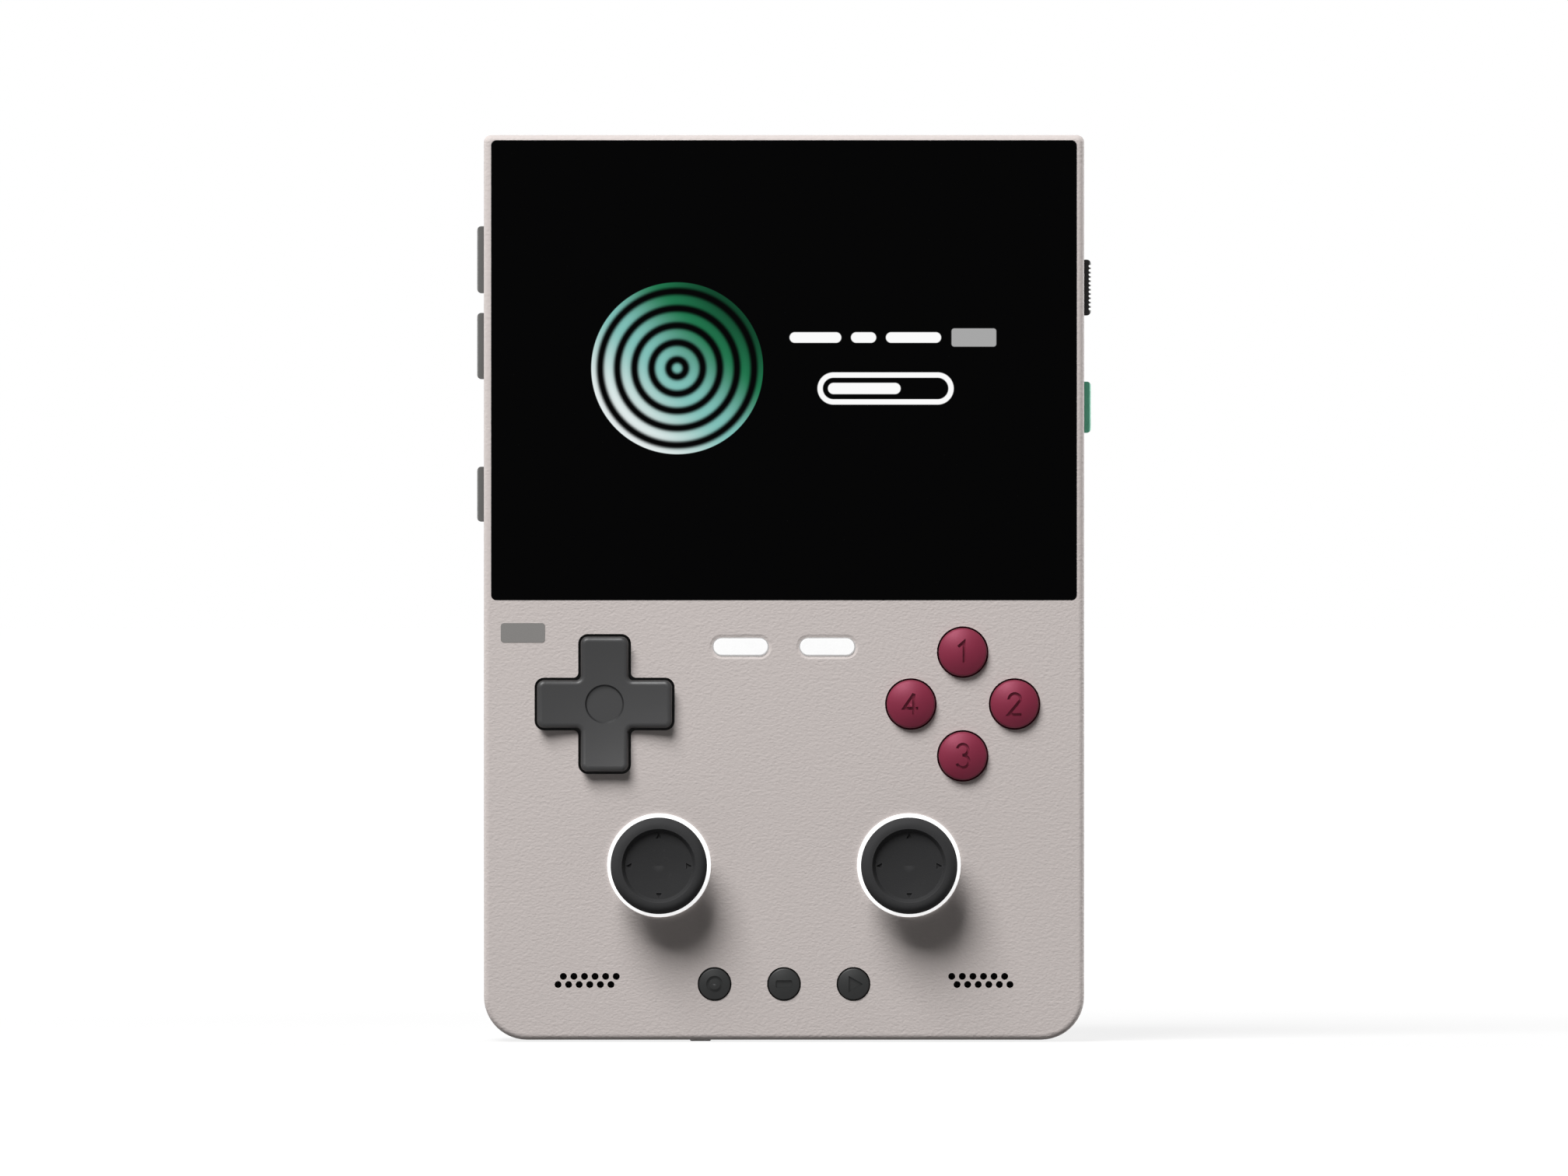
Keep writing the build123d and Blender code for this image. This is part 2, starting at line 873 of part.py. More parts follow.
def stick_rocker(side):
    """Inner gimbal piece that the stem slides through, with pins along the height."""
    reach = yoke_outer_radius - pin_end_gap
    body = Cylinder(rocker_radius, gimbal_height)
    body += peg_along_y(0, 0, rocker_pin_radius, -reach, reach)
    body -= Cylinder(stem_radius + rocker_bore_gap, gimbal_height + 2 * overrun)
    return place_stick(body, side)


def stick_yoke(side):
    """Outer gimbal ring, with pins across the console."""
    reach = housing_outer_radius - pin_end_gap
    body = Cylinder(yoke_outer_radius, gimbal_height)
    body += peg_along_x(0, 0, yoke_pin_radius, -reach, reach)
    body -= Cylinder(yoke_inner_radius, gimbal_height + 2 * overrun)
    hole_reach = yoke_outer_radius + overrun
    body -= peg_along_y(0, 0, rocker_pin_radius + pin_gap, -hole_reach, hole_reach)
    return place_stick(body, side)


def stick_housing(side):
    """Cup that holds the gimbal, on a plate soldered behind the board."""
    x = sides[side] * stick_side
    cup = peg(x, stick_row_y, housing_outer_radius, board_back_z, housing_top_z)
    base_low_z = board_back_z - base_thickness
    base = RectangleRounded(base_size, base_size, base_corner)
    cup += prism(base, x, stick_row_y, base_low_z, board_back_z)
    cup -= peg(x, stick_row_y, housing_inner_radius, housing_floor_z, housing_top_z + overrun)
    hole_reach = housing_outer_radius + overrun
    cup -= peg_along_x(
        stick_row_y, stick_pivot_z, yoke_pin_radius + pin_gap, x - hole_reach, x + hole_reach
    )
    click_top_z = stick_pivot_z - stem_foot_radius - stick_click - click_dome_gap
    return cup + peg(x, stick_row_y, click_dome_radius, housing_floor_z, click_top_z)


def stick_housings():
    return Compound([stick_housing(side) for side in sides])


def light_ring(side):
    """Ring that glows round a stick, with its light guide down to the board."""
    x = sides[side] * stick_side
    flange_low_z = wall_z - ring_flange_thickness
    ring = peg(x, stick_row_y, ring_radius, board_top_z, ring_rise)
    ring = chamfer(top_edges(ring), ring_edge)
    ring += peg(x, stick_row_y, ring_flange_radius, flange_low_z, wall_z)
    ring -= peg(x, stick_row_y, ring_inner_radius, flange_low_z, ring_rise + overrun)
    return ring - peg(x, stick_row_y, ring_tube_inner_radius, board_top_z - overrun, flange_low_z)


def light_rings():
    return Compound([light_ring(side) for side in sides])


# Boards and what they carry


def main_board():
    """Board outline that follows the case, with room for the sticks and case bosses."""
    outline = case_outline(lip_inset + board_gap)
    board = prism(outline, 0, 0, board_back_z, board_top_z)
    board &= span_box((-half_width, half_width), (0, board_top_y), (board_back_z, board_top_z))
    low_z = board_back_z - overrun
    high_z = board_top_z + overrun
    for side in sides.values():
        board -= peg(side * stick_side, stick_row_y, board_hole_radius, low_z, high_z)
    for x, y in case_screw_places():
        board -= peg(x, y, case_boss_radius + case_boss_gap, low_z, high_z)
    for x, y in standoff_places():
        board -= peg(x, y, board_screw_radius + screw_gap, low_z, high_z)
    return board


def board_screws():
    """Screws that hold the main board to its standoffs."""
    screws = []
    for x, y in standoff_places():
        head_z = board_back_z - board_screw_head
        screw = peg(x, y, board_screw_head_radius, head_z, board_back_z)
        screw += peg(x, y, board_screw_radius, board_back_z, board_back_z + board_screw_length)
        screw -= peg(x, y, screw_socket_radius, head_z - overrun, head_z + screw_socket_depth)
        screws.append(screw)
    return Compound(screws)


def processor_shield():
    """Can over the processor, between the two middle standoffs and the stick housings."""
    half = stick_side - base_size / 2 - shield_side_gap
    low_y = stick_row_y - standoff_reach + shield_end_gap
    high_y = control_row_y - standoff_middle_drop - shield_end_gap
    shield = span_box((-half, half), (low_y, high_y), (board_back_z - shield_thickness, board_back_z))
    return fillet(shield.edges().filter_by(Axis.Z), inner_corner)


def board_chips():
    """Chips behind the board, placed as shares of the board's half width and height."""
    chip_shares = [
        (-0.62, 0.82, 0.26, 0.19),
        (-0.2, 0.86, 0.18, 0.14),
        (0.2, 0.86, 0.18, 0.14),
        (0.62, 0.8, 0.3, 0.17),
        (0.8, 0.3, 0.12, 0.12),
    ]
    half = inner_half - lip_wall
    chips = []
    for x_share, y_share, width_share, height_share in chip_shares:
        x_span = around(x_share * half, width_share * half)
        y_span = around(y_share * board_top_y, height_share * board_top_y)
        chips.append(span_box(x_span, y_span, (board_back_z - chip_thickness, board_back_z)))
    return Compound(chips)


def battery():
    y_span = (battery_bottom_y, battery_top_y)
    cell = span_box(around(0, battery_width), y_span, (floor_z, floor_z + battery_thickness))
    return fillet(cell.edges(), battery_corner)


def vibration_motor():
    return peg(0, battery_top_y + motor_rise, motor_radius, floor_z, floor_z + motor_thickness)


# Speakers


def speaker(side):
    outline = RectangleRounded(speaker_width, speaker_height, speaker_corner)
    x = sides[side] * speaker_side
    return prism(outline, x, speaker_row_y, board_top_z, wall_z - mesh_thickness)


def speaker_mesh():
    outline = RectangleRounded(
        speaker_width - mesh_margin, speaker_height - mesh_margin, speaker_corner - mesh_margin
    )
    return Compound(
        [
            prism(outline, side * speaker_side, speaker_row_y, wall_z - mesh_thickness, wall_z)
            for side in sides.values()
        ]
    )


# Sockets in the bottom edge

usb_z = board_back_z - usb_thickness / 2
jack_z = board_back_z - jack_size / 2
card_socket_thickness = card_thickness + 2 * card_gap + 2 * card_socket_wall
card_z = board_back_z - card_socket_thickness / 2
card_socket_y = side_wall + card_socket_inset
card_end_y = card_inset + card_length


def upright_prism(outline, x, z, low_y, high_y):
    """Outline drawn across and through the case, made solid along the height."""
    plane = Plane(origin=(x, low_y, z), x_dir=(1, 0, 0), z_dir=(0, 1, 0))
    return extrude(plane * outline, high_y - low_y)


def usb_outline(margin):
    """Outline of the USB-C shell, larger by a margin."""
    return RectangleRounded(
        usb_width + 2 * margin, usb_thickness + 2 * margin, usb_corner + margin
    )


def usb_socket():
    end_y = usb_inset + usb_length
    back_y = end_y - usb_back
    socket = upright_prism(usb_outline(0), 0, usb_z, usb_inset, end_y)
    socket -= upright_prism(usb_outline(-usb_shell), 0, usb_z, usb_inset - overrun, back_y)
    tongue = span_box(
        around(0, usb_tongue_width),
        (usb_inset + usb_tongue_setback, back_y),
        around(usb_z, usb_tongue_thickness),
    )
    return socket + tongue


def headphone_socket():
    end_y = jack_collar_inset + jack_bore_length + jack_back
    body_y = side_wall + jack_collar_inset
    body = span_box(around(jack_x, jack_size), (body_y, end_y), around(jack_z, jack_size))
    body += peg_along_y(jack_x, jack_z, jack_collar_radius, jack_collar_inset, body_y)
    bore_end_y = jack_collar_inset + jack_bore_length
    return body - peg_along_y(jack_x, jack_z, jack_bore_radius, jack_collar_inset - overrun, bore_end_y)


def card_socket():
    stop_y = card_end_y + card_gap
    width = card_width + 2 * card_gap
    body = span_box(
        around(card_x, width + 2 * card_socket_wall),
        (card_socket_y, stop_y + card_socket_stop),
        around(card_z, card_socket_thickness),
    )
    slot = span_box(
        around(card_x, width),
        (card_socket_y - overrun, stop_y),
        around(card_z, card_thickness + 2 * card_gap),
    )
    return body - slot


def memory_card():
    card = span_box(
        around(card_x, card_width), (card_inset, card_end_y), around(card_z, card_thickness)
    )
    return fillet(card.edges().filter_by(Axis.Z), inner_corner)


def socket_openings():
    """Cuts through the bottom wall of the rear shell."""
    wall_end_y = side_wall + overrun
    usb = upright_prism(usb_outline(usb_wall_gap), 0, usb_z, -overrun, wall_end_y)
    jack = peg_along_y(jack_x, jack_z, jack_collar_radius + jack_wall_gap, -overrun, wall_end_y)
    card = span_box(
        around(card_x, card_width + 2 * card_slot_gap),
        (-overrun, wall_end_y),
        around(card_z, card_thickness + 2 * card_slot_gap),
    )
    return usb + jack + card


# Reset key

reset_z = -reset_depth
reset_flange_y = side_wall + flange_gap
reset_flange_end_y = reset_flange_y + reset_flange


def reset_key():
    """Small sprung key that stands a little out of the bottom edge."""
    cap = span_box(
        around(reset_x, reset_width), (-reset_rise, reset_flange_end_y), around(reset_z, reset_thickness)
    )
    cap = fillet(cap.faces().sort_by(Axis.Y)[0].edges(), reset_edge)
    flange = span_box(
        around(reset_x, reset_width + 2 * reset_margin),
        (reset_flange_y, reset_flange_end_y),
        around(reset_z, reset_thickness + reset_margin),
    )
    return cap + flange


def reset_opening():
    return span_box(
        around(reset_x, reset_width + 2 * seam_gap),
        (-overrun, side_wall + overrun),
        around(reset_z, reset_thickness + 2 * seam_gap),
    )


def reset_switch():
    start_y = reset_flange_end_y + reset_travel + contact_gap
    return span_box(
        around(reset_x, reset_switch_width),
        (start_y, reset_switch_end_y),
        (board_top_z, board_top_z + reset_switch_height),
    )


# Side keys

side_key_z = -side_key_depth
side_flange_x = inner_half - side_key_play
side_flange_inner_x = side_flange_x - side_key_flange
side_board_x = inner_half - side_board_setback
switch_face_x = side_flange_inner_x - side_key_travel - contact_gap


def side_key(side, y, length):
    """Key through a side wall, with a flange that keeps it in."""
    outer_x = half_width + side_key_rise
    cap = span_box(
        (side_flange_inner_x, outer_x), around(y, length), around(side_key_z, side_key_width)
    )
    cap = fillet(cap.faces().sort_by(Axis.X)[-1].edges(), side_key_edge)
    flange = span_box(
        (side_flange_inner_x, side_flange_x),
        around(y, length + 2 * side_key_margin),
        around(side_key_z, side_key_width + 2 * side_key_margin),
    )
    key = cap + flange
    return key if side == "right" else mirror(key, Plane.YZ)


def side_key_opening(side, y, length, travel):
    """Hole for a side key, longer below by any travel along the side."""
    low_y = y - length / 2 - side_key_gap - travel
    high_y = y + length / 2 + side_key_gap
    hole = span_box(
        (inner_half - overrun, half_width + overrun),
        (low_y, high_y),
        around(side_key_z, side_key_width + 2 * side_key_gap),
    )
    return hole if side == "right" else mirror(hole, Plane.YZ)


def lock_slider():
    """Ribbed slide key with a peg into its switch."""
    key = side_key("right", slider_y, slider_length)
    outer_x = half_width + side_key_rise
    half_run = (slider_notch_count - 1) * slider_notch_pitch / 2
    for number in range(slider_notch_count):
        y = slider_y - half_run + number * slider_notch_pitch
        low_x = outer_x - slider_notch_depth + slider_notch_radius
        reach = side_key_width / 2 + overrun
        z_span = (side_key_z - reach, side_key_z + reach)
        key -= peg(low_x, y, slider_notch_radius, *z_span)
        key -= span_box((low_x, outer_x + overrun), around(y, 2 * slider_notch_radius), z_span)
    peg_end_x = side_flange_inner_x - slider_peg_length
    return key + peg_along_x(slider_y, side_key_z, slider_peg_radius, peg_end_x, side_flange_inner_x)


def slide_switch():
    """Switch body with a slot that the slide key's peg runs in."""
    middle_y = slider_y - slider_travel / 2
    face_x = side_flange_inner_x - slide_switch_gap
    width = 2 * (slider_peg_radius + slide_switch_gap)
    body = span_box(
        (side_board_x, face_x), around(middle_y, slide_switch_length), around(side_key_z, side_key_width)
    )
    slot = span_box(
        (side_flange_inner_x - slider_peg_length - slide_switch_gap, face_x + overrun),
        around(middle_y, slider_travel + width),
        around(side_key_z, width),
    )
    return body - slot


def side_switch(side, y):
    """Switch between a side board and its key."""
    body = span_box(
        (side_board_x, switch_face_x), around(y, switch_length), around(side_key_z, switch_width)
    )
    return body if side == "right" else mirror(body, Plane.YZ)


def pill_switch(side):
    return span_box(
        around(sides[side] * pill_side, switch_length),
        around(pill_row_y, switch_width),
        (board_top_z, pill_switch_top_z),
    )


def side_board(side):
    """Upright board that carries the switches of one side."""
    if side == "left":
        low_y = lower_key_y - lower_key_length / 2
        high_y = upper_key_y + upper_key_length / 2
    else:
        low_y = power_key_y - power_key_length / 2
        high_y = slider_y + slider_length / 2
    board = span_box(
        (side_board_x - side_board_thickness, side_board_x),
        (low_y - side_board_margin, high_y + side_board_margin),
        (floor_z, -side_board_front),
    )
    return board if side == "right" else mirror(board, Plane.YZ)


# Hump, bumpers and triggers

hump_half = half_width - hump_side_inset
hump_top_y = case_height - hump_top_inset
hump_bottom_y = hump_top_y - hump_height
hump_back_z = back_z - hump_rise
hump_floor_z = hump_back_z + rear_wall
cavity_half = hump_half - rear_wall
cavity_bottom_y = hump_bottom_y + rear_wall
cavity_top_y = hump_top_y - rear_wall
hump_middle_y = (hump_bottom_y + hump_top_y) / 2
key_back_z = hump_back_z - bumper_rise
key_flange_low_z = hump_floor_z + flange_gap
key_flange_high_z = key_flange_low_z + flange_thickness
bumper_width = hump_half * bumper_share
bumper_outer_x = cavity_half - key_window_gap - flange_margin
bumper_x = bumper_outer_x - bumper_width / 2
bumper_inner_x = bumper_outer_x - bumper_width
shoulder_board_z = -shoulder_board_depth
shoulder_board_back_z = shoulder_board_z - shoulder_board_thickness
shoulder_body_z = shoulder_board_back_z - shoulder_switch_height

outer_ear_x = bumper_inner_x - flange_margin - ear_gap
trigger_outer_x = outer_ear_x - ear_thickness - ear_gap
trigger_width = trigger_outer_x - trigger_middle_side
trigger_x = (trigger_outer_x + trigger_middle_side) / 2
inner_ear_x = trigger_middle_side - ear_gap
hinge_y = cavity_bottom_y + ear_gap + trigger_barrel_radius
hinge_z = hump_floor_z + ear_gap + trigger_barrel_radius
trigger_switch_y = hinge_y + trigger_reach * trigger_switch_share


def bumper(side):
    """Sliding shoulder key with a stem towards its switch."""
    x = sides[side] * bumper_x
    outline = RectangleRounded(bumper_width, bumper_height, bumper_corner)
    cap = prism(outline, x, hump_middle_y, key_back_z, key_flange_high_z)
    cap = fillet(low_edges(cap), bumper_edge)
    wide = RectangleRounded(
        bumper_width + 2 * flange_margin, bumper_height + 2 * flange_margin, bumper_corner
    )
    key = cap + prism(wide, x, hump_middle_y, key_flange_low_z, key_flange_high_z)
    stem_end_z = shoulder_body_z - bumper_travel - contact_gap
    return key + peg(x, hump_middle_y, bumper_stem_radius, key_flange_high_z, stem_end_z)


def trigger_point(distance, drop):
    """Point of the trigger's side view, on an arc about the hinge, at a drop behind it."""
    return hinge_y + sqrt(distance**2 - drop**2), hinge_z - drop


def trigger(side):
    """Hinged shoulder key, drawn in side view and made solid across."""
    lip_drop = trigger_lip_thickness
    far_drop = hinge_z - key_back_z
    start_y = hinge_y + trigger_shoulder
    start_z = hump_back_z - trigger_start_rise
    lip_reach = trigger_reach + trigger_lip
    middle_drop = (lip_drop + far_drop) / 2

    def at(point):
        return 0, point[0], point[1]

    lip_start = (hinge_y + lip_reach, hinge_z)
    profile = [
        Line(at((hinge_y, hinge_z)), at(lip_start)),
        ThreePointArc(
            at(lip_start), at(trigger_point(lip_reach, lip_drop / 2)), at(trigger_point(lip_reach, lip_drop))
        ),
        Line(at(trigger_point(lip_reach, lip_drop)), at(trigger_point(trigger_reach, lip_drop))),
        ThreePointArc(
            at(trigger_point(trigger_reach, lip_drop)),
            at(trigger_point(trigger_reach, middle_drop)),
            at(trigger_point(trigger_reach, far_drop)),
        ),
        Line(at(trigger_point(trigger_reach, far_drop)), at((start_y, start_z))),
        Line(at((start_y, start_z)), at((start_y, hinge_z - lip_drop))),
        Line(at((start_y, hinge_z - lip_drop)), at((hinge_y, hinge_z - lip_drop))),
        Line(at((hinge_y, hinge_z - lip_drop)), at((hinge_y, hinge_z))),
    ]
    half = trigger_width / 2
    body = extrude(make_face(profile), half, dir=(1, 0, 0), both=True)
    far_faces = body.faces().filter_by(Axis.X)
    outer_edges = [edge for face in far_faces for edge in face.edges() if edge.center().Z < hump_back_z]
    body = fillet(outer_edges, trigger_edge)
    body += peg_along_x(hinge_y, hinge_z, trigger_barrel_radius, -half, half)
    pin_reach = half + ear_gap + ear_thickness - pin_end_gap
    body += peg_along_x(hinge_y, hinge_z, trigger_pin_radius, -pin_reach, pin_reach)
    return Pos(sides[side] * trigger_x, 0, 0) * body


def trigger_ears(side):
    """Two plates with holes for a trigger's pins."""
    ears = []
    for inner_x in (outer_ear_x - ear_thickness, inner_ear_x - ear_thickness):
        ears.append(
            span_box(
                (inner_x, inner_x + ear_thickness),
                (cavity_bottom_y - overrun, hinge_y + ear_margin),
                (hump_floor_z - overrun, hinge_z + ear_margin),
            )
        )
    pair = ears[0] + ears[1]
    pair -= peg_along_x(hinge_y, hinge_z, trigger_pin_radius + pin_gap, -half_width, half_width)
    return pair if side == "right" else mirror(pair, Plane.YZ)


def key_windows(side):
    """Openings in the hump for one bumper and one trigger."""
    x = sides[side] * bumper_x
    outline = RectangleRounded(
        bumper_width + 2 * key_window_gap, bumper_height + 2 * key_window_gap, bumper_corner
    )
    low_z = hump_back_z - overrun
    high_z = hump_floor_z + overrun
    windows = prism(outline, x, hump_middle_y, low_z, high_z)
    y_span = (hinge_y + trigger_shoulder - key_window_gap, hinge_y + trigger_reach + key_window_gap)
    width = trigger_width + 2 * key_window_gap
    return windows + span_box(around(sides[side] * trigger_x, width), y_span, (low_z, high_z))


def shoulder_switch(side):
    """Switch over a bumper's stem."""
    x = sides[side] * bumper_x
    return span_box(
        around(x, shoulder_switch_size),
        around(hump_middle_y, shoulder_switch_size),
        (shoulder_body_z, shoulder_board_back_z),
    )


def trigger_switch(side):
    """Switch over a trigger, with a long button down to it."""
    x = sides[side] * trigger_x
    body = span_box(
        around(x, shoulder_switch_size),
        around(trigger_switch_y, shoulder_switch_size),
        (shoulder_body_z, shoulder_board_back_z),
    )
    reach = trigger_switch_y - hinge_y + shoulder_button_radius
    low_z = hinge_z + reach * sin(radians(trigger_turn)) + contact_gap
    if low_z < shoulder_body_z:
        body += peg(x, trigger_switch_y, shoulder_button_radius, low_z, shoulder_body_z)
    return body


def tact_switches():
    """Every small switch: pill keys, reset, side keys, bumpers and triggers."""
    switches = [reset_switch()]
    switches += [pill_switch(side) for side in sides]
    switches += [side_switch("left", y) for y in (upper_key_y, middle_key_y, lower_key_y)]
    switches.append(side_switch("right", power_key_y))
    switches += [shoulder_switch(side) for side in sides]
    switches += [trigger_switch(side) for side in sides]
    return Compound(switches)


def shoulder_post_places():
    """Posts in the hump that carry the shoulder board."""
    return [(0, cavity_bottom_y + shoulder_post_radius), (0, cavity_top_y - shoulder_post_radius)]


def shoulder_board():
    half = side_board_x - side_board_thickness - shoulder_board_edge
    board = span_box(
        (-half, half),
        (cavity_bottom_y, cavity_top_y),
        (shoulder_board_back_z, shoulder_board_z),
    )
    for x, y in shoulder_post_places():
        board -= peg(
            x,
            y,
            board_screw_radius + screw_gap,
            shoulder_board_back_z - overrun,
            shoulder_board_z + overrun,
        )
    return board


# Shells


def speaker_openings():
    holes = [
        peg(x, y, speaker_hole_radius, wall_z - overrun, overrun)
        for side in sides.values()
        for x, y in speaker_hole_places(side)
    ]
    return holes


def control_openings():
    """Cuts through the face for every control."""
    low_z = wall_z - overrun
    cross = cross_outline(dpad_hole_span, dpad_hole_arm, dpad_corner + dpad_gap, dpad_crease)
    cuts = [prism(cross, -dpad_side, control_row_y, low_z, overrun)]
    cuts += [peg(x, y, button_radius + button_gap, low_z, overrun) for x, y in button_places().values()]
    cuts += [
        peg(x, y, function_radius + function_gap, low_z, overrun) for x, y in function_places().values()
    ]
    for side in sides.values():
        pill = prism(pill_outline(pill_gap), 0, 0, low_z, 0)
        bevel_foot = Pos(0, 0, -pill_bevel_depth) * pill_outline(pill_gap)
        pill += loft([bevel_foot, pill_outline(pill_gap + pill_bevel)])
        cuts.append(Pos(side * pill_side, pill_row_y, 0) * pill)
        cuts.append(peg(side * stick_side, stick_row_y, ring_radius + ring_gap, low_z, overrun))
    return cuts + speaker_openings()


def ridge_places():
    """Middles of the snap ridges along the top edge."""
    half_run = (ridge_count - 1) * ridge_pitch / 2
    return [number * ridge_pitch - half_run for number in range(ridge_count)]


def snap_ridges(gap):
    """Ridges of the rear lip, or with a gap the notches that they enter."""
    lip_y = case_height - lip_outset
    ridges = []
    for x in ridge_places():
        y_span = (lip_y - lip_wall / 2, lip_y + ridge_rise + gap)
        z_span = (lip_top_z - ridge_depth - gap, lip_top_z - gap)
        z_span = around((z_span[0] + z_span[1]) / 2, ridge_depth + 2 * gap)
        ridges.append(span_box(around(x, ridge_width + 2 * gap), y_span, z_span))
    return ridges


def front_shell():
    shell = prism(case_outline(0), 0, 0, parting_z, 0)
    shell = fillet(top_edges(shell), front_round)
    shell = chamfer(low_edges(shell), parting_chamfer)
    shell -= prism(case_outline(side_wall), 0, 0, parting_z - overrun, wall_z)
    bar_half = half_width - lip_inset - crossbar_clearance
    bar_y_span = (crossbar_top_y - crossbar_thickness, crossbar_top_y)
    shell += span_box((-bar_half, bar_half), bar_y_span, (plate_back_z, wall_z))
    for x, y in standoff_places():
        shell += peg(x, y, standoff_radius, board_top_z, wall_z)
    for x, y in case_screw_places():
        shell += peg(x, y, case_boss_radius, -case_boss_reach, wall_z)
    recess = RectangleRounded(
        glass_width + 2 * glass_gap, glass_height + 2 * glass_gap, glass_corner + glass_gap
    )
    shell -= prism(recess, 0, glass_y, -glass_thickness, overrun)
    window = Rectangle(window_width, window_height)
    shell -= prism(window, 0, glass_y, plate_back_z, overrun)
    for x, y in standoff_places():
        shell -= peg(
            x,
            y,
            board_screw_radius + screw_gap,
            board_top_z - overrun,
            board_back_z + board_screw_length + screw_gap,
        )
    for x, y in case_screw_places():
        screw_end_z = -case_boss_reach - case_tube_floor + case_screw_length + screw_gap
        shell -= peg(x, y, case_screw_radius + screw_gap, -case_boss_reach - overrun, screw_end_z)
    for cut in control_openings() + snap_ridges(seam_gap):
        shell -= cut
    return shell - reset_opening()


def rear_lip():
    """Rim of the rear shell that stands inside the front shell."""
    lip = case_ring(side_wall, lip_inset, parting_z - lip_root, parting_z)
    lip += case_ring(lip_outset, lip_inset, parting_z, lip_top_z)
    for ridge in snap_ridges(0):
        lip += ridge
    for x, y in case_screw_places():
        lip -= peg(
            x, y, case_boss_radius + case_boss_gap, parting_z - lip_root - overrun, lip_top_z + overrun
        )
    return lip - span_box(
        around(reset_x, reset_width + 4 * reset_margin),
        (0, lip_inset + overrun),
        (parting_z, lip_top_z + overrun),
    )


def battery_tray():
    """Ribs that keep the battery in its place on the rear wall."""
    half = battery_width / 2 + tray_gap
    top_y = battery_top_y + tray_gap
    low_y = battery_bottom_y - tray_gap
    middle_y = (low_y + top_y) / 2
    z_span = (floor_z - overrun, floor_z + tray_rib_height)
    ribs = []
    for side in sides.values():
        x_span = sorted((side * half, side * (half + tray_rib_thickness)))
        ribs.append(span_box(x_span, around(middle_y, tray_rib_length), z_span))
        corner_x = side * (half - tray_rib_length)
        ribs.append(span_box(around(corner_x, tray_rib_length), (top_y, top_y + tray_rib_thickness), z_span))
        ribs.append(span_box(around(corner_x, tray_rib_length), (low_y - tray_rib_thickness, low_y), z_span))
    return ribs


def rear_shell():
    shell = prism(case_outline(0), 0, 0, back_z, parting_z)
    shell = fillet(low_edges(shell), rear_round)
    shell = chamfer(top_edges(shell), parting_chamfer)
    hump_outline = RectangleRounded(2 * hump_half, hump_height, hump_corner)
    hump = prism(hump_outline, 0, hump_middle_y, hump_back_z, floor_z)
    shell += fillet(low_edges(hump), hump_round)
    shell -= prism(case_outline(side_wall), 0, 0, floor_z, parting_z + overrun)
    cavity = RectangleRounded(2 * cavity_half, cavity_top_y - cavity_bottom_y, hump_corner - rear_wall)
    shell -= prism(cavity, 0, hump_middle_y, hump_floor_z, floor_z + overrun)
    shell += rear_lip()
    tube_top_z = -case_boss_reach
    for x, y in case_screw_places():
        shell += peg(x, y, case_tube_radius, floor_z - overrun, tube_top_z) & prism(
            case_outline(side_wall / 2), 0, 0, back_z, tube_top_z
        )
    for rib in battery_tray():
        shell += rib
    for x, y in shoulder_post_places():
        shell += peg(x, y, shoulder_post_radius, hump_floor_z - overrun, shoulder_board_back_z)
    for side in sides:
        shell += trigger_ears(side)
        shell -= key_windows(side)
        for y in (press_post_low_y, press_post_high_y):
            x = sides[side] * (half_width - press_post_inset)
            shell += peg(x, y, press_post_radius, floor_z - overrun, plate_back_z)
    for x, y in case_screw_places():
        shell -= peg(x, y, case_screw_radius + 2 * case_head_gap, back_z - overrun, tube_top_z + overrun)
        head_seat_z = tube_top_z - case_tube_floor
        shell -= peg(x, y, case_screw_head_radius + case_head_gap, back_z - overrun, head_seat_z)
    for x, y in shoulder_post_places():
        screw_end_z = shoulder_board_z - board_screw_length - screw_gap
        shell -= peg(x, y, board_screw_radius + screw_gap, screw_end_z, shoulder_board_z)
    for y, length in (
        (upper_key_y, upper_key_length),
        (middle_key_y, middle_key_length),
        (lower_key_y, lower_key_length),
    ):
        shell -= side_key_opening("left", y, length, 0)
    shell -= side_key_opening("right", power_key_y, power_key_length, 0)
    shell -= side_key_opening("right", slider_y, slider_length, slider_travel)
    return shell - socket_openings()


def case_screws():
    """Screws that draw the rear shell to the front shell."""
    seat_z = -case_boss_reach - case_tube_floor
    screws = []
    for x, y in case_screw_places():
        screw = peg(x, y, case_screw_head_radius, seat_z - case_screw_head, seat_z)
        screw += peg(x, y, case_screw_radius, seat_z, seat_z + case_screw_length)
        low_z = seat_z - case_screw_head
        screw -= peg(x, y, screw_socket_radius, low_z - overrun, low_z + screw_socket_depth)
        screws.append(screw)
    return Compound(screws)


def shoulder_screws():
    """Screws that hold the shoulder board to its posts."""
    screws = []
    for x, y in shoulder_post_places():
        head_z = shoulder_board_z + board_screw_head
        screw = peg(x, y, board_screw_head_radius, shoulder_board_z, head_z)
        screw += peg(x, y, board_screw_radius, shoulder_board_z - board_screw_length, shoulder_board_z)
        screw -= peg(x, y, screw_socket_radius, head_z - screw_socket_depth, head_z + overrun)
        screws.append(screw)
    return screws


def inner_screws():
    """All the small screws inside the console."""
    return Compound(list(board_screws()) + shoulder_screws())


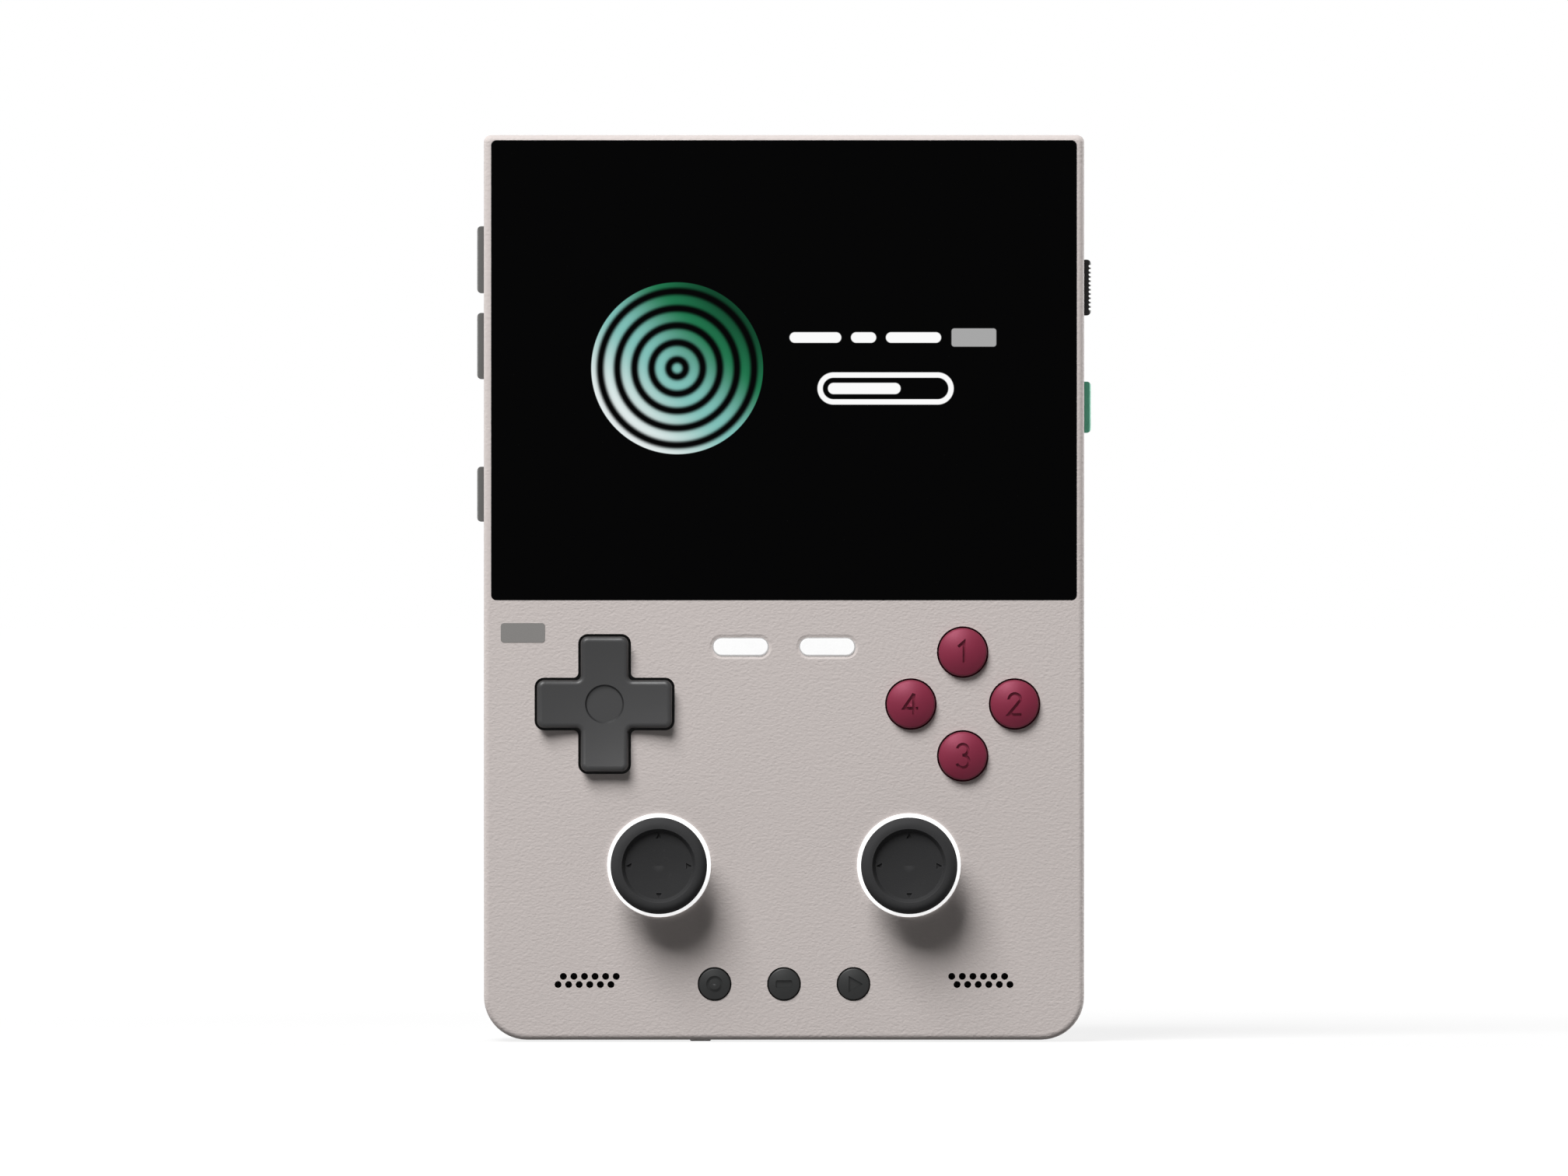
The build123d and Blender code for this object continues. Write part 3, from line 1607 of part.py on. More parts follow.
def pieces():
    """Every piece of the console by name."""
    made = {
        "front_shell": front_shell(),
        "rear_shell": rear_shell(),
        "cover_glass": cover_glass(),
        "optical_adhesive": optical_adhesive(),
        "lcd_panel": lcd_panel(),
        "screen_foam": screen_foam(),
        "mid_plate": mid_plate(),
        "main_board": main_board(),
        "processor_shield": processor_shield(),
        "board_chips": board_chips(),
        "inner_screws": inner_screws(),
        "battery": battery(),
        "vibration_motor": vibration_motor(),
        "speaker_mesh": speaker_mesh(),
        "usb_socket": usb_socket(),
        "headphone_socket": headphone_socket(),
        "card_socket": card_socket(),
        "memory_card": memory_card(),
        "reset_key": reset_key(),
        "tact_switches": tact_switches(),
        "side_key_upper": side_key("left", upper_key_y, upper_key_length),
        "side_key_middle": side_key("left", middle_key_y, middle_key_length),
        "side_key_lower": side_key("left", lower_key_y, lower_key_length),
        "power_key": side_key("right", power_key_y, power_key_length),
        "lock_slider": lock_slider(),
        "slide_switch": slide_switch(),
        "shoulder_board": shoulder_board(),
        "dpad": dpad(),
        "dpad_ball": dpad_ball(),
        "dpad_post": dpad_post(),
        "dpad_membrane": dpad_membrane(),
        "button_membrane": button_membrane(),
        "function_membrane": function_membrane(),
        "light_rings": light_rings(),
        "stick_housings": stick_housings(),
        "case_screws": case_screws(),
    }
    for number, place in enumerate(button_places(), start=1):
        made[f"button_{place}"] = face_button(place, number)
    for place in function_places():
        made[f"function_key_{place}"] = function_key(place)
    for side in sides:
        made[f"speaker_{side}"] = speaker(side)
        made[f"side_board_{side}"] = side_board(side)
        made[f"pill_key_{side}"] = pill_key(side)
        made[f"stick_{side}"] = stick(side)
        made[f"stick_rocker_{side}"] = stick_rocker(side)
        made[f"stick_yoke_{side}"] = stick_yoke(side)
        made[f"bumper_{side}"] = bumper(side)
        made[f"trigger_{side}"] = trigger(side)
    return made


def stand_up(piece):
    """Turn a piece so that the face looks along -Y and the case stands on its bottom edge."""
    return Location((0, -case_depth / 2, 0), (90, 0, 0)) * piece


os.makedirs("parts", exist_ok=True)
for name, piece in pieces().items():
    export_step(stand_up(piece), f"parts/{name}.step")
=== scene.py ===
import math

import bmesh
import bpy
from bpy.props import FloatProperty, FloatVectorProperty, IntProperty, PointerProperty
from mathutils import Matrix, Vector


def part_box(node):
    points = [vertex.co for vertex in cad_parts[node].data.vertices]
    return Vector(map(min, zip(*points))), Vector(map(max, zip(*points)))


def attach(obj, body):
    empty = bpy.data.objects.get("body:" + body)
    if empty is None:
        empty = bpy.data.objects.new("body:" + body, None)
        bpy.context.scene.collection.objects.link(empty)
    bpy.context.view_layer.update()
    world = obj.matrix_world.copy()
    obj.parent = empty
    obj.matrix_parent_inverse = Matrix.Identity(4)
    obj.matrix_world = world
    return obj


bl_info = {
    "name": "Handheld game console",
    "version": (1, 0, 0),
    "blender": (4, 5, 0),
    "location": "View3D > Sidebar > Console",
    "description": "Finishes, screen picture, small fittings and studio of a handheld game console",
    "category": "Object",
}

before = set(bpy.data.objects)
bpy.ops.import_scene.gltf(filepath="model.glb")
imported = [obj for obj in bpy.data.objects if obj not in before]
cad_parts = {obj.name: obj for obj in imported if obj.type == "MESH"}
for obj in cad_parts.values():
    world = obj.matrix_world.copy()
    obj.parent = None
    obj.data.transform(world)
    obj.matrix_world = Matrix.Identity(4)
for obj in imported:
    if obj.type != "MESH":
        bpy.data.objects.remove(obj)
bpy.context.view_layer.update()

# Lengths are in metres, as in the frame, unless a name or a docstring says millimetres
MM = 0.001
MM_PER_METRE = 1000.0


# Colours


def linear(part):
    """One part of a colour as light, from the value that a screen shows, by the sRGB curve."""
    return part / 12.92 if part <= 0.04045 else ((part + 0.055) / 1.055) ** 2.4


def rgba(colour, share=1.0):
    """Colour for a socket, made lighter or darker by a share."""
    return tuple(min(1.0, linear(part) * share) for part in colour) + (1.0,)


# Shader maths


class Wire:
    """Output of a node that can be written with as a number."""

    def __init__(self, finish, socket):
        self.finish = finish
        self.socket = socket

    def __add__(self, other):
        return self.finish.maths("ADD", self, other)

    __radd__ = __add__

    def __sub__(self, other):
        return self.finish.maths("SUBTRACT", self, other)

    def __rsub__(self, other):
        return self.finish.maths("SUBTRACT", other, self)

    def __mul__(self, other):
        return self.finish.maths("MULTIPLY", self, other)

    __rmul__ = __mul__

    def __truediv__(self, other):
        return self.finish.maths("DIVIDE", self, other)

    def __rtruediv__(self, other):
        return self.finish.maths("DIVIDE", other, self)

    def __pow__(self, other):
        return self.finish.maths("POWER", self, other)

    def __rpow__(self, other):
        return self.finish.maths("POWER", other, self)

    def __abs__(self):
        return self.finish.maths("ABSOLUTE", self)


class Finish:
    """Material, or the light of the sky, that is being put together from nodes."""

    def __init__(self, name, owner=None):
        self.owner = owner or bpy.data.materials.new(name)
        self.owner.use_nodes = True
        self.tree = self.owner.node_tree
        self.tree.nodes.clear()

    def node(self, kind, settings, sockets):
        """Node of a kind, with its settings made first and then its sockets fed."""
        made = self.tree.nodes.new(kind)
        for key, value in settings.items():
            setattr(made, key, value)
        for key, value in sockets.items():
            if isinstance(value, Wire):
                self.tree.links.new(value.socket, made.inputs[key])
            else:
                made.inputs[key].default_value = value
        return made

    def wire(self, kind, settings, sockets, output=0):
        """One output of a new node."""
        return Wire(self, self.node(kind, settings, sockets).outputs[output])

    def maths(self, operation, *terms):
        """Number that a Math node works out."""
        return self.wire("ShaderNodeMath", {"operation": operation}, dict(enumerate(terms)))

    def vectors(self, operation, *terms, output="Vector"):
        """Vector or number that a Vector Math node works out."""
        settings = {"operation": operation}
        return self.wire("ShaderNodeVectorMath", settings, dict(enumerate(terms)), output)

    def larger(self, first, second):
        """Larger of two numbers."""
        return self.maths("MAXIMUM", first, second)

    def place(self):
        """Place on the piece, in metres."""
        return self.wire("ShaderNodeTexCoord", {}, {}, "Object")

    def stretched(self, place, shares):
        """Place made shorter along each axis by a share, so that patterns are drawn out along it."""
        return self.vectors("MULTIPLY", place, shares)

    def parts(self, place):
        """The three numbers of a place, in millimetres."""
        split = self.node("ShaderNodeSeparateXYZ", {}, {0: place})
        return [Wire(self, output) * MM_PER_METRE for output in split.outputs]

    def noise(self, place, size, detail=2.0, roughness=0.5):
        """Soft patches of about one size, in metres."""
        sockets = {"Vector": place, "Scale": 1.0 / size, "Detail": detail, "Roughness": roughness}
        return self.wire("ShaderNodeTexNoise", {}, sockets)

    def cells(self, place, size, feature="F1"):
        """Distance within cells of about one size, in metres."""
        sockets = {"Vector": place, "Scale": 1.0 / size}
        return self.wire("ShaderNodeTexVoronoi", {"feature": feature}, sockets, "Distance")

    def rise(self, value, start, end):
        """Smooth rise from 0 to 1 between two values."""
        settings = {"interpolation_type": "SMOOTHSTEP"}
        return self.wire("ShaderNodeMapRange", settings, {0: value, 1: start, 2: end})

    def mix(self, factor, first, second):
        """Colour between two colours."""
        settings = {"data_type": "RGBA", "blend_type": "MIX", "clamp_factor": True}
        return self.wire("ShaderNodeMix", settings, {0: factor, 6: first, 7: second}, 2)

    def corners(self, radius):
        """How near a sharp edge the surface is, from 0 on flats to 1."""
        flat, sharp = 0.995, 0.8
        soft = self.wire("ShaderNodeBevel", {"samples": 4}, {"Radius": radius}, "Normal")
        true = self.wire("ShaderNodeNewGeometry", {}, {}, "Normal")
        return self.rise(self.vectors("DOT_PRODUCT", soft, true, output="Value"), flat, sharp)

    def rubbed(self, place, patch, corner, start=0.42, end=0.7):
        """Patches along the sharp edges that hands have rubbed, from 0 to 1."""
        return self.rise(self.noise(place, patch, 3.0), start, end) * corner

    def relief(self, height, depth):
        """Normal of a surface with small hills of a depth in metres."""
        sockets = {"Height": height, "Distance": depth, "Strength": 1.0}
        return self.wire("ShaderNodeBump", {}, sockets, "Normal")

    def surface(self, sockets):
        """Close the material with one surface shader."""
        return self.close(self.wire("ShaderNodeBsdfPrincipled", {}, sockets))

    def close(self, shader):
        """Close the material with a shader."""
        self.node("ShaderNodeOutputMaterial", {}, {"Surface": shader})
        return self.owner


# Finishes


def case_plastic(colours, sizes):
    """Pale warm plastic with a fine streaked leather grain."""
    finish = Finish("case_plastic")
    place = finish.place()
    streaked, drawn = finish.stretched(place, (0.5, 1.0, 1.0)), finish.stretched(place, (0.75, 1.0, 1.0))
    streaks = finish.noise(streaked, sizes.grain, detail=3.0, roughness=0.55)
    pore_share = 0.7
    pores = finish.cells(drawn, sizes.grain * pore_share, "SMOOTH_F1")
    clouds = finish.noise(place, 28 * MM)
    specks = finish.noise(place, 0.22 * MM, detail=1.0)
    rubbed = finish.rubbed(place, 4 * MM, finish.corners(0.35 * MM))
    dusty = finish.rise(specks, 0.72, 0.8) * 0.25
    base = finish.mix(clouds, rgba(colours.case, 0.97), rgba(colours.case, 1.03))
    base = finish.mix(streaks, base, rgba(colours.case, 0.93))
    base = finish.mix(rubbed * 0.5, base, rgba(colours.case, 1.22))
    base = finish.mix(dusty, base, rgba(colours.case, 0.8))
    return finish.surface({
        "Base Color": base,
        "Roughness": 0.5 + (streaks - 0.5) * 0.16 - rubbed * 0.14,
        "Normal": finish.relief(streaks * 0.7 + pores * 0.5 + specks * 0.12, sizes.grain_depth),
        "Specular IOR Level": 0.15,
    })


def moulded(name, colour, roughness=0.45, grain=0.3 * MM, depth=0.006 * MM, worn=1.35, specular=0.2):
    """Moulded plastic with fine grain, soft clouding, rubbed edges and faint scuffs."""
    finish = Finish(name)
    place = finish.place()
    fine = finish.noise(place, grain)
    clouds = finish.noise(place, 6 * MM, detail=3.0)
    scuffs = finish.noise(finish.stretched(place, (0.16, 1.0, 1.4)), 0.5 * MM)
    scratched = finish.rise(scuffs, 0.66, 0.78)
    rubbed = finish.rubbed(place, 1.2 * MM, finish.corners(0.3 * MM), start=0.4, end=0.68)
    base = finish.mix(clouds, rgba(colour, 0.93), rgba(colour, 1.07))
    base = finish.mix(fine * 0.5, base, rgba(colour, 0.9))
    base = finish.mix(rubbed * 0.55, base, rgba(colour, worn))
    return finish.surface({
        "Base Color": finish.mix(scratched * 0.12, base, rgba(colour, worn)),
        "Roughness": roughness + (fine - 0.5) * 0.12 + scratched * 0.06 - rubbed * 0.12,
        "Normal": finish.relief(fine + scratched * 0.3, depth),
        "Specular IOR Level": specular,
    })


def soft_rubber(name, colour):
    """Soft rubber with a pebbled skin, dust in its pits and polish on its edges."""
    finish = Finish(name)
    place = finish.place()
    pebbles = finish.cells(place, 0.4 * MM, "SMOOTH_F1")
    clouds = finish.noise(place, 3 * MM, detail=3.0)
    dust = finish.rise(finish.noise(place, 0.5 * MM, detail=4.0), 0.6, 0.78)
    corner = finish.corners(0.4 * MM)
    base = finish.mix(clouds, rgba(colour, 0.9), rgba(colour, 1.1))
    base = finish.mix(dust * 0.18, base, rgba(colour, 2.0))
    return finish.surface({
        "Base Color": finish.mix(corner * 0.35, base, rgba(colour, 1.5)),
        "Roughness": 0.5 + dust * 0.12 - corner * 0.18 + (clouds - 0.5) * 0.1,
        "Normal": finish.relief(pebbles, 0.006 * MM),
        "Specular IOR Level": 0.2,
    })


def stick_rubber(name, colour, middle, sizes):
    """Rubber of a thumbstick, with ribs round the side of its cap and a painted highlight that lightens
    its rim.
    """
    finish = Finish(name)
    place = finish.place()
    across, _, up = finish.parts(place)
    side = across - middle[0] * MM_PER_METRE
    rise = up - middle[1] * MM_PER_METRE
    radius = (side * side + rise * rise) ** 0.5
    angle = finish.maths("ARCTAN2", rise, side)
    ribs = finish.maths("SINE", angle * float(sizes.rib_count)) * 0.5 + 0.5
    ribbed = finish.rise(radius, sizes.rib_start * MM_PER_METRE, sizes.rib_full * MM_PER_METRE)
    # Painted highlight: this mask is 1 on a stick's rim and 0 inwards; it lightens the rim's colour all
    # round, and it also makes the rim a little smoother
    rim = finish.rise(radius, sizes.rim_highlight_start * MM_PER_METRE, sizes.rim_highlight_full * MM_PER_METRE)
    pebbles = finish.cells(place, 0.2 * MM, "SMOOTH_F1")
    clouds = finish.noise(place, 3.5 * MM, detail=3.0)
    dust = finish.rise(finish.noise(place, 0.6 * MM, detail=4.0), 0.6, 0.8)
    # Painted highlight: the rim's colour is made a quarter lighter than the rest of the cap
    base = finish.mix(rim, rgba(colour), rgba(colour, 1.25))
    base = finish.mix(clouds * 0.5, base, rgba(colour, 0.8))
    base = finish.mix(dust * 0.12, base, rgba(colour, 2.4))
    return finish.surface({
        "Base Color": finish.mix(finish.corners(0.35 * MM) * 0.3, base, rgba(colour, 1.7)),
        "Roughness": 0.7 + dust * 0.12 - rim * 0.06 + (clouds - 0.5) * 0.08,
        "Normal": finish.relief(pebbles * 0.08 + ribs * ribbed, 0.12 * MM),
        "Specular IOR Level": 0.035,
    })


def button_plastic(colours):
    """Deep wine red satin plastic."""
    finish = Finish("face_button")
    place = finish.place()
    fine = finish.noise(place, 0.18 * MM)
    clouds = finish.noise(place, 2.8 * MM, detail=3.0)
    rubbed = finish.rubbed(place, 0.9 * MM, finish.corners(0.25 * MM))
    speckle = finish.rise(fine, 0.66, 0.8)
    base = finish.mix(clouds, rgba(colours.face_button, 0.9), rgba(colours.face_button, 1.1))
    base = finish.mix(rubbed * 0.4, base, rgba(colours.face_button, 1.6))
    return finish.surface({
        "Base Color": finish.mix(speckle * 0.25, base, rgba(colours.face_button, 0.75)),
        "Roughness": 0.52 + (fine - 0.5) * 0.14 + (clouds - 0.5) * 0.08 - rubbed * 0.08,
        "Normal": finish.relief(fine, 0.005 * MM),
        "Specular IOR Level": 0.6,
        "Specular Tint": rgba(colours.button_sheen),
    })


def glowing_plastic(name, colour, strength, front, lit_depth):
    """Milky light guide that glows from within, down to a depth behind its front."""
    finish = Finish(name)
    place = finish.place()
    _, through, _ = finish.parts(place)
    lit = finish.rise(through, (front + lit_depth) * MM_PER_METRE, front * MM_PER_METRE)
    clouds = finish.noise(place, 2.2 * MM)
    fine = finish.noise(place, 0.25 * MM)
    glow = finish.mix(clouds, rgba(colour, 0.93), rgba(colour))
    glow = finish.mix(finish.corners(0.25 * MM) * 0.4, glow, rgba(colour, 0.75))
    return finish.surface({
        "Base Color": finish.mix(fine, rgba(colour, 0.56), rgba(colour, 0.62)),
        "Roughness": 0.38 + (fine - 0.5) * 0.1,
        "Normal": finish.relief(fine, 0.004 * MM),
        "Emission Color": finish.mix(lit, rgba(colour, 0.7), glow),
        "Emission Strength": strength,
    })


def brushed(name, colour, along, roughness=0.32, size=0.35 * MM):
    """Brushed or stamped metal with fine lines, tarnish and bright edges."""
    finish = Finish(name)
    place = finish.place()
    lines = finish.noise(finish.stretched(place, along), size, detail=3.0, roughness=0.6)
    tarnish = finish.noise(place, 5 * MM, detail=4.0)
    base = finish.mix(tarnish, rgba(colour, 0.86), rgba(colour, 1.08))
    base = finish.mix(lines * 0.35, base, rgba(colour, 0.78))
    return finish.surface({
        "Base Color": finish.mix(finish.corners(0.2 * MM) * 0.5, base, rgba(colour, 1.35)),
        "Metallic": 1.0,
        "Roughness": roughness + (lines - 0.5) * 0.2 + (tarnish - 0.5) * 0.12,
        "Normal": finish.relief(lines, 0.006 * MM),
    })


def circuit_board(colours):
    """Solder mask over copper tracks, with bare pads and small holes."""
    finish = Finish("circuit_board")
    place = finish.place()
    across, through, up = finish.parts(place)
    radians_per_mm = 5.2
    level = finish.maths("SINE", up * radians_per_mm)
    upright = finish.maths("SINE", (across + through) * radians_per_mm)
    turned = finish.rise(finish.noise(place, 7 * MM, detail=1.0), 0.48, 0.5)
    tracks = finish.rise(level * turned + upright * (1 - turned), 0.35, 0.6)
    pads = finish.rise(finish.cells(place, 2.2 * MM), 0.2, 0.14)
    grain = finish.noise(place, 0.2 * MM)
    base = finish.mix(tracks * 0.55, rgba(colours.board), rgba(colours.board, 1.9))
    return finish.surface({
        "Base Color": finish.mix(pads * 0.85, base, rgba(colours.solder_pad)),
        "Metallic": pads * 0.85,
        "Roughness": 0.4 + (grain - 0.5) * 0.14 - pads * 0.12,
        "Normal": finish.relief(tracks * 0.6 + pads + grain * 0.1, 0.03 * MM),
    })


def foil_wrap(colours):
    """Satin foil round the battery, with soft creases."""
    finish = Finish("battery_foil")
    place = finish.place()
    creases = finish.noise(finish.stretched(place, (1.0, 1.0, 0.3)), 6 * MM, detail=4.0, roughness=0.6)
    fine = finish.noise(place, 0.3 * MM)
    base = finish.mix(creases, rgba(colours.battery, 0.86), rgba(colours.battery, 1.12))
    return finish.surface({
        "Base Color": finish.mix(finish.corners(0.6 * MM) * 0.5, base, rgba(colours.battery, 1.6)),
        "Metallic": 0.75,
        "Roughness": 0.42 + (creases - 0.5) * 0.2 + (fine - 0.5) * 0.1,
        "Normal": finish.relief(creases + fine * 0.1, 0.16 * MM),
    })


def woven_mesh():
    """Fine black weave that keeps dust from the speakers."""
    finish = Finish("dust_weave")
    place = finish.place()
    across, _, up = finish.parts(place)
    radians_per_mm = 31.0
    warp = finish.maths("SINE", across * radians_per_mm)
    weft = finish.maths("SINE", up * radians_per_mm)
    thread = finish.rise(finish.larger(warp, weft), 0.1, 0.9)
    lint = finish.rise(finish.noise(place, 0.9 * MM, detail=3.0), 0.62, 0.8)
    base = finish.mix(thread, rgba((0.02, 0.02, 0.02)), rgba((0.13, 0.13, 0.135)))
    return finish.surface({
        "Base Color": finish.mix(lint * 0.3, base, rgba((0.3, 0.29, 0.28))),
        "Roughness": 0.85 - thread * 0.2,
        "Normal": finish.relief(thread, 0.04 * MM),
        "Specular IOR Level": 0.2,
    })


def open_foam():
    """Dark open foam that cushions the panel."""
    finish = Finish("panel_foam")
    place = finish.place()
    cells = finish.cells(place, 0.35 * MM)
    lumps = finish.noise(place, 1.5 * MM, detail=3.0)
    base = finish.mix(cells * 1.4, rgba((0.04, 0.04, 0.042)), rgba((0.16, 0.16, 0.165)))
    return finish.surface({
        "Base Color": finish.mix(lumps * 0.3, base, rgba((0.1, 0.1, 0.1))),
        "Roughness": 0.9 - cells * 0.15,
        "Normal": finish.relief(cells + lumps * 0.4, 0.12 * MM),
        "Specular IOR Level": 0.15,
    })


def clear_adhesive():
    """Clear film between the glass and the panel."""
    finish = Finish("clear_film")
    ripple = finish.noise(finish.place(), 4 * MM)
    return finish.surface({
        "Base Color": finish.mix(ripple, rgba((0.93, 0.94, 0.95)), rgba((0.98, 0.98, 0.99))),
        "Roughness": 0.05 + ripple * 0.04,
        "Normal": finish.relief(ripple, 0.008 * MM),
        "Transmission Weight": 0.9,
    })


def panel_stack(back):
    """Dark display panel with its fine pixel lines, and a steel tray up to its back."""
    finish = Finish("display_panel")
    place = finish.place()
    across, through, up = finish.parts(place)
    radians_per_mm = 24.0
    pixels = finish.maths("SINE", across * radians_per_mm) * finish.maths("SINE", up * radians_per_mm)
    lines = finish.rise(pixels, -0.2, 0.6)
    tray_depth, blend = 1.45, 0.2
    front = back * MM_PER_METRE - tray_depth
    tray = finish.rise(through, front, front + blend)
    brush = finish.noise(finish.stretched(place, (0.06, 1.0, 1.0)), 0.4 * MM, detail=3.0)
    dark = finish.mix(lines, rgba((0.05, 0.05, 0.06)), rgba((0.085, 0.085, 0.1)))
    steel = finish.mix(brush, rgba((0.6, 0.6, 0.61)), rgba((0.76, 0.76, 0.77)))
    return finish.surface({
        "Base Color": finish.mix(tray, dark, steel),
        "Metallic": tray,
        "Roughness": 0.22 + tray * 0.15 + (brush - 0.5) * 0.1,
        "Normal": finish.relief(brush * tray, 0.006 * MM),
    })


class Picture:
    """Loading picture of soft rings and bars, in millimetres about the panel's middle."""

    blur = 0.07
    pool_x, pool_y = -15.3, 0.3
    pool_radius = 12.3
    ring_pitch = 2.45
    dash_level = 4.7
    dash_width = 1.5
    dashes = ((0.8, 7.4), (9.6, 3.6), (14.6, 7.9))
    tag_start, tag_length = 24.0, 6.4
    tag_width, tag_corner = 2.6, 0.4
    track_start, track_length = 4.8, 19.5
    track_level, track_width = -2.6, 4.6
    track_line = 0.75
    fill_start, fill_length, fill_width = 6.3, 10.4, 1.6

    def __init__(self, finish, middle):
        across, _, up = finish.parts(finish.place())
        self.finish = finish
        self.across = across - middle[0] * MM_PER_METRE
        self.up = up - middle[1] * MM_PER_METRE

    def inside(self, distance):
        """1 within an edge, from the distance beyond it."""
        return self.finish.rise(distance, self.blur, -self.blur)

    def ripples(self):
        """Round pool of soft rings, brightest on each ring's crest."""
        side = self.across - self.pool_x
        rise = self.up - self.pool_y
        distance = (side * side + rise * rise) ** 0.5
        crest = self.finish.maths("COSINE", distance * (2 * math.pi / self.ring_pitch)) * 0.5 + 0.5
        shade = self.finish.rise(crest, 0.05, 0.75) * (0.55 + crest * 0.45)
        return shade * self.inside(distance - self.pool_radius)

    def beyond_bar(self, start, level, length, width, corner):
        """Distance beyond a bar with round corners."""
        middle = start + length / 2
        side = self.finish.larger(abs(self.across - middle) - (length / 2 - corner), 0.0)
        rise = self.finish.larger(abs(self.up - level) - (width / 2 - corner), 0.0)
        return (side * side + rise * rise) ** 0.5 - corner

    def bar(self, start, level, length, width, corner=None):
        """Filled bar, with round ends where it has no corner radius of its own."""
        return self.inside(self.beyond_bar(start, level, length, width, corner or width / 2))

    def track(self):
        """Outline of a bar with round ends."""
        sizes = (self.track_start, self.track_level, self.track_length, self.track_width)
        inward = self.beyond_bar(*sizes, self.track_width / 2) + self.track_line / 2
        return self.inside(abs(inward) - self.track_line / 2)

    def pool_colour(self, colours):
        """Colour of the pool, from pale at the lower left to dark green at the upper right."""
        mix, rise = self.finish.mix, self.finish.rise
        reach = 1.4 * self.pool_radius
        slope = (self.across - self.pool_x + self.up - self.pool_y) / reach
        tint = mix(rise(slope, -0.95, -0.1), rgba(colours.picture_pale), rgba(colours.picture_teal))
        tint = mix(rise(slope, -0.15, 0.55), tint, rgba(colours.picture_green))
        return mix(rise(slope, 0.4, 1.0), tint, rgba(colours.picture_green, 0.3))

    def light(self, colours):
        """Colour of the light at each place of the picture."""
        mix = self.finish.mix
        white = rgba(colours.picture_bars)
        grey = rgba(colours.picture_bars, 0.4)
        tag = self.bar(self.tag_start, self.dash_level, self.tag_length, self.tag_width, self.tag_corner)
        light = mix(self.ripples(), rgba((0.0, 0.0, 0.0)), self.pool_colour(colours))
        for start, length in self.dashes:
            light = mix(self.bar(start, self.dash_level, length, self.dash_width), light, white)
        light = mix(tag, light, grey)
        light = mix(self.track(), light, white)
        filled = self.bar(self.fill_start, self.track_level, self.fill_length, self.fill_width)
        return mix(filled, light, white)


def cover_glass(colours, middle):
    """Black cover glass with a lit loading picture behind it and faint smudges."""
    finish = Finish("cover_glass")
    place = finish.place()
    smudges = finish.rise(finish.noise(place, 12 * MM, detail=4.0, roughness=0.6), 0.52, 0.75)
    fine = finish.noise(place, 0.7 * MM)
    specks = finish.rise(finish.noise(place, 0.35 * MM, detail=1.0), 0.76, 0.82)
    corner = finish.corners(0.2 * MM)
    base = finish.mix(specks * 0.03, rgba(colours.glass), rgba((0.4, 0.4, 0.4)))
    return finish.surface({
        "Base Color": finish.mix(corner * 0.1, base, rgba((0.25, 0.26, 0.27))),
        "Roughness": 0.06 + smudges * 0.1 + specks * 0.2 + fine * 0.02,
        "Normal": finish.relief(smudges + fine * 0.3, 0.0006 * MM),
        "Specular IOR Level": 0.02,
        "Emission Color": Picture(finish, middle).light(colours),
        "Emission Strength": 1.0,
    })


def printed_ink(colours):
    """Grey printed patch with a soft rubbed ink surface."""
    finish = Finish("printed_patch")
    place = finish.place()
    fine = finish.noise(place, 0.16 * MM)
    worn = finish.rise(finish.noise(place, 0.7 * MM, detail=4.0), 0.6, 0.8)
    base = finish.mix(fine, rgba(colours.patch, 0.92), rgba(colours.patch, 1.08))
    return finish.surface({
        "Base Color": finish.mix(worn * 0.25, base, rgba(colours.patch, 1.35)),
        "Roughness": 0.5 + (fine - 0.5) * 0.16,
        "Normal": finish.relief(fine + worn * 0.4, 0.008 * MM),
        "Specular IOR Level": 0.35,
    })


# Pieces


def dress(material, *names):
    """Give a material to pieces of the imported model."""
    for name in names:
        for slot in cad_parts[name].material_slots:
            slot.material = material


def add_piece(name, shape, material, body):
    """Turn a bmesh into a piece that rides on a body."""
    mesh = bpy.data.meshes.new(name)
    bmesh.ops.recalc_face_normals(shape, faces=shape.faces)
    shape.to_mesh(mesh)
    shape.free()
    mesh.materials.append(material)
    piece = bpy.data.objects.new(name, mesh)
    bpy.context.scene.collection.objects.link(piece)
    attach(piece, body)


def add_round_patch(shape, middle, width, height, corner, thickness, edge):
    """Thin patch with round corners and a bevelled edge, standing on a face that looks along -Y."""
    steps = 8
    rim = []
    for quarter, (side, end) in enumerate(((1, 1), (-1, 1), (-1, -1), (1, -1))):
        x = middle[0] + side * (width / 2 - corner)
        z = middle[2] + end * (height / 2 - corner)
        for step in range(steps + 1):
            angle = math.pi / 2 * (quarter + step / steps)
            rim.append((x, z, math.cos(angle), math.sin(angle)))
    loops = []
    for inset, rise in ((0, 0), (0, thickness - edge), (edge, thickness)):
        reach = corner - inset
        y = middle[1] - rise
        loops.append([shape.verts.new((x + reach * c, y, z + reach * s)) for x, z, c, s in rim])
    for low, high in zip(loops, loops[1:]):
        for index in range(len(rim)):
            after = (index + 1) % len(rim)
            shape.faces.new((low[index], low[after], high[after], high[index]))
    shape.faces.new(loops[-1])
    shape.faces.new(loops[0])


def add_strip(shape, low, high, edge):
    """Small block between two corners, with its edges bevelled."""
    middle = [(a + b) / 2 for a, b in zip(low, high)]
    made = bmesh.ops.create_cube(shape, size=1.0)["verts"]
    for vert in made:
        vert.co = Vector([m + c * (b - a) for m, c, a, b in zip(middle, vert.co, low, high)])
    edges = list({one for vert in made for one in vert.link_edges})
    bmesh.ops.bevel(shape, geom=edges, offset=edge, segments=2, affect="EDGES", profile=0.6)


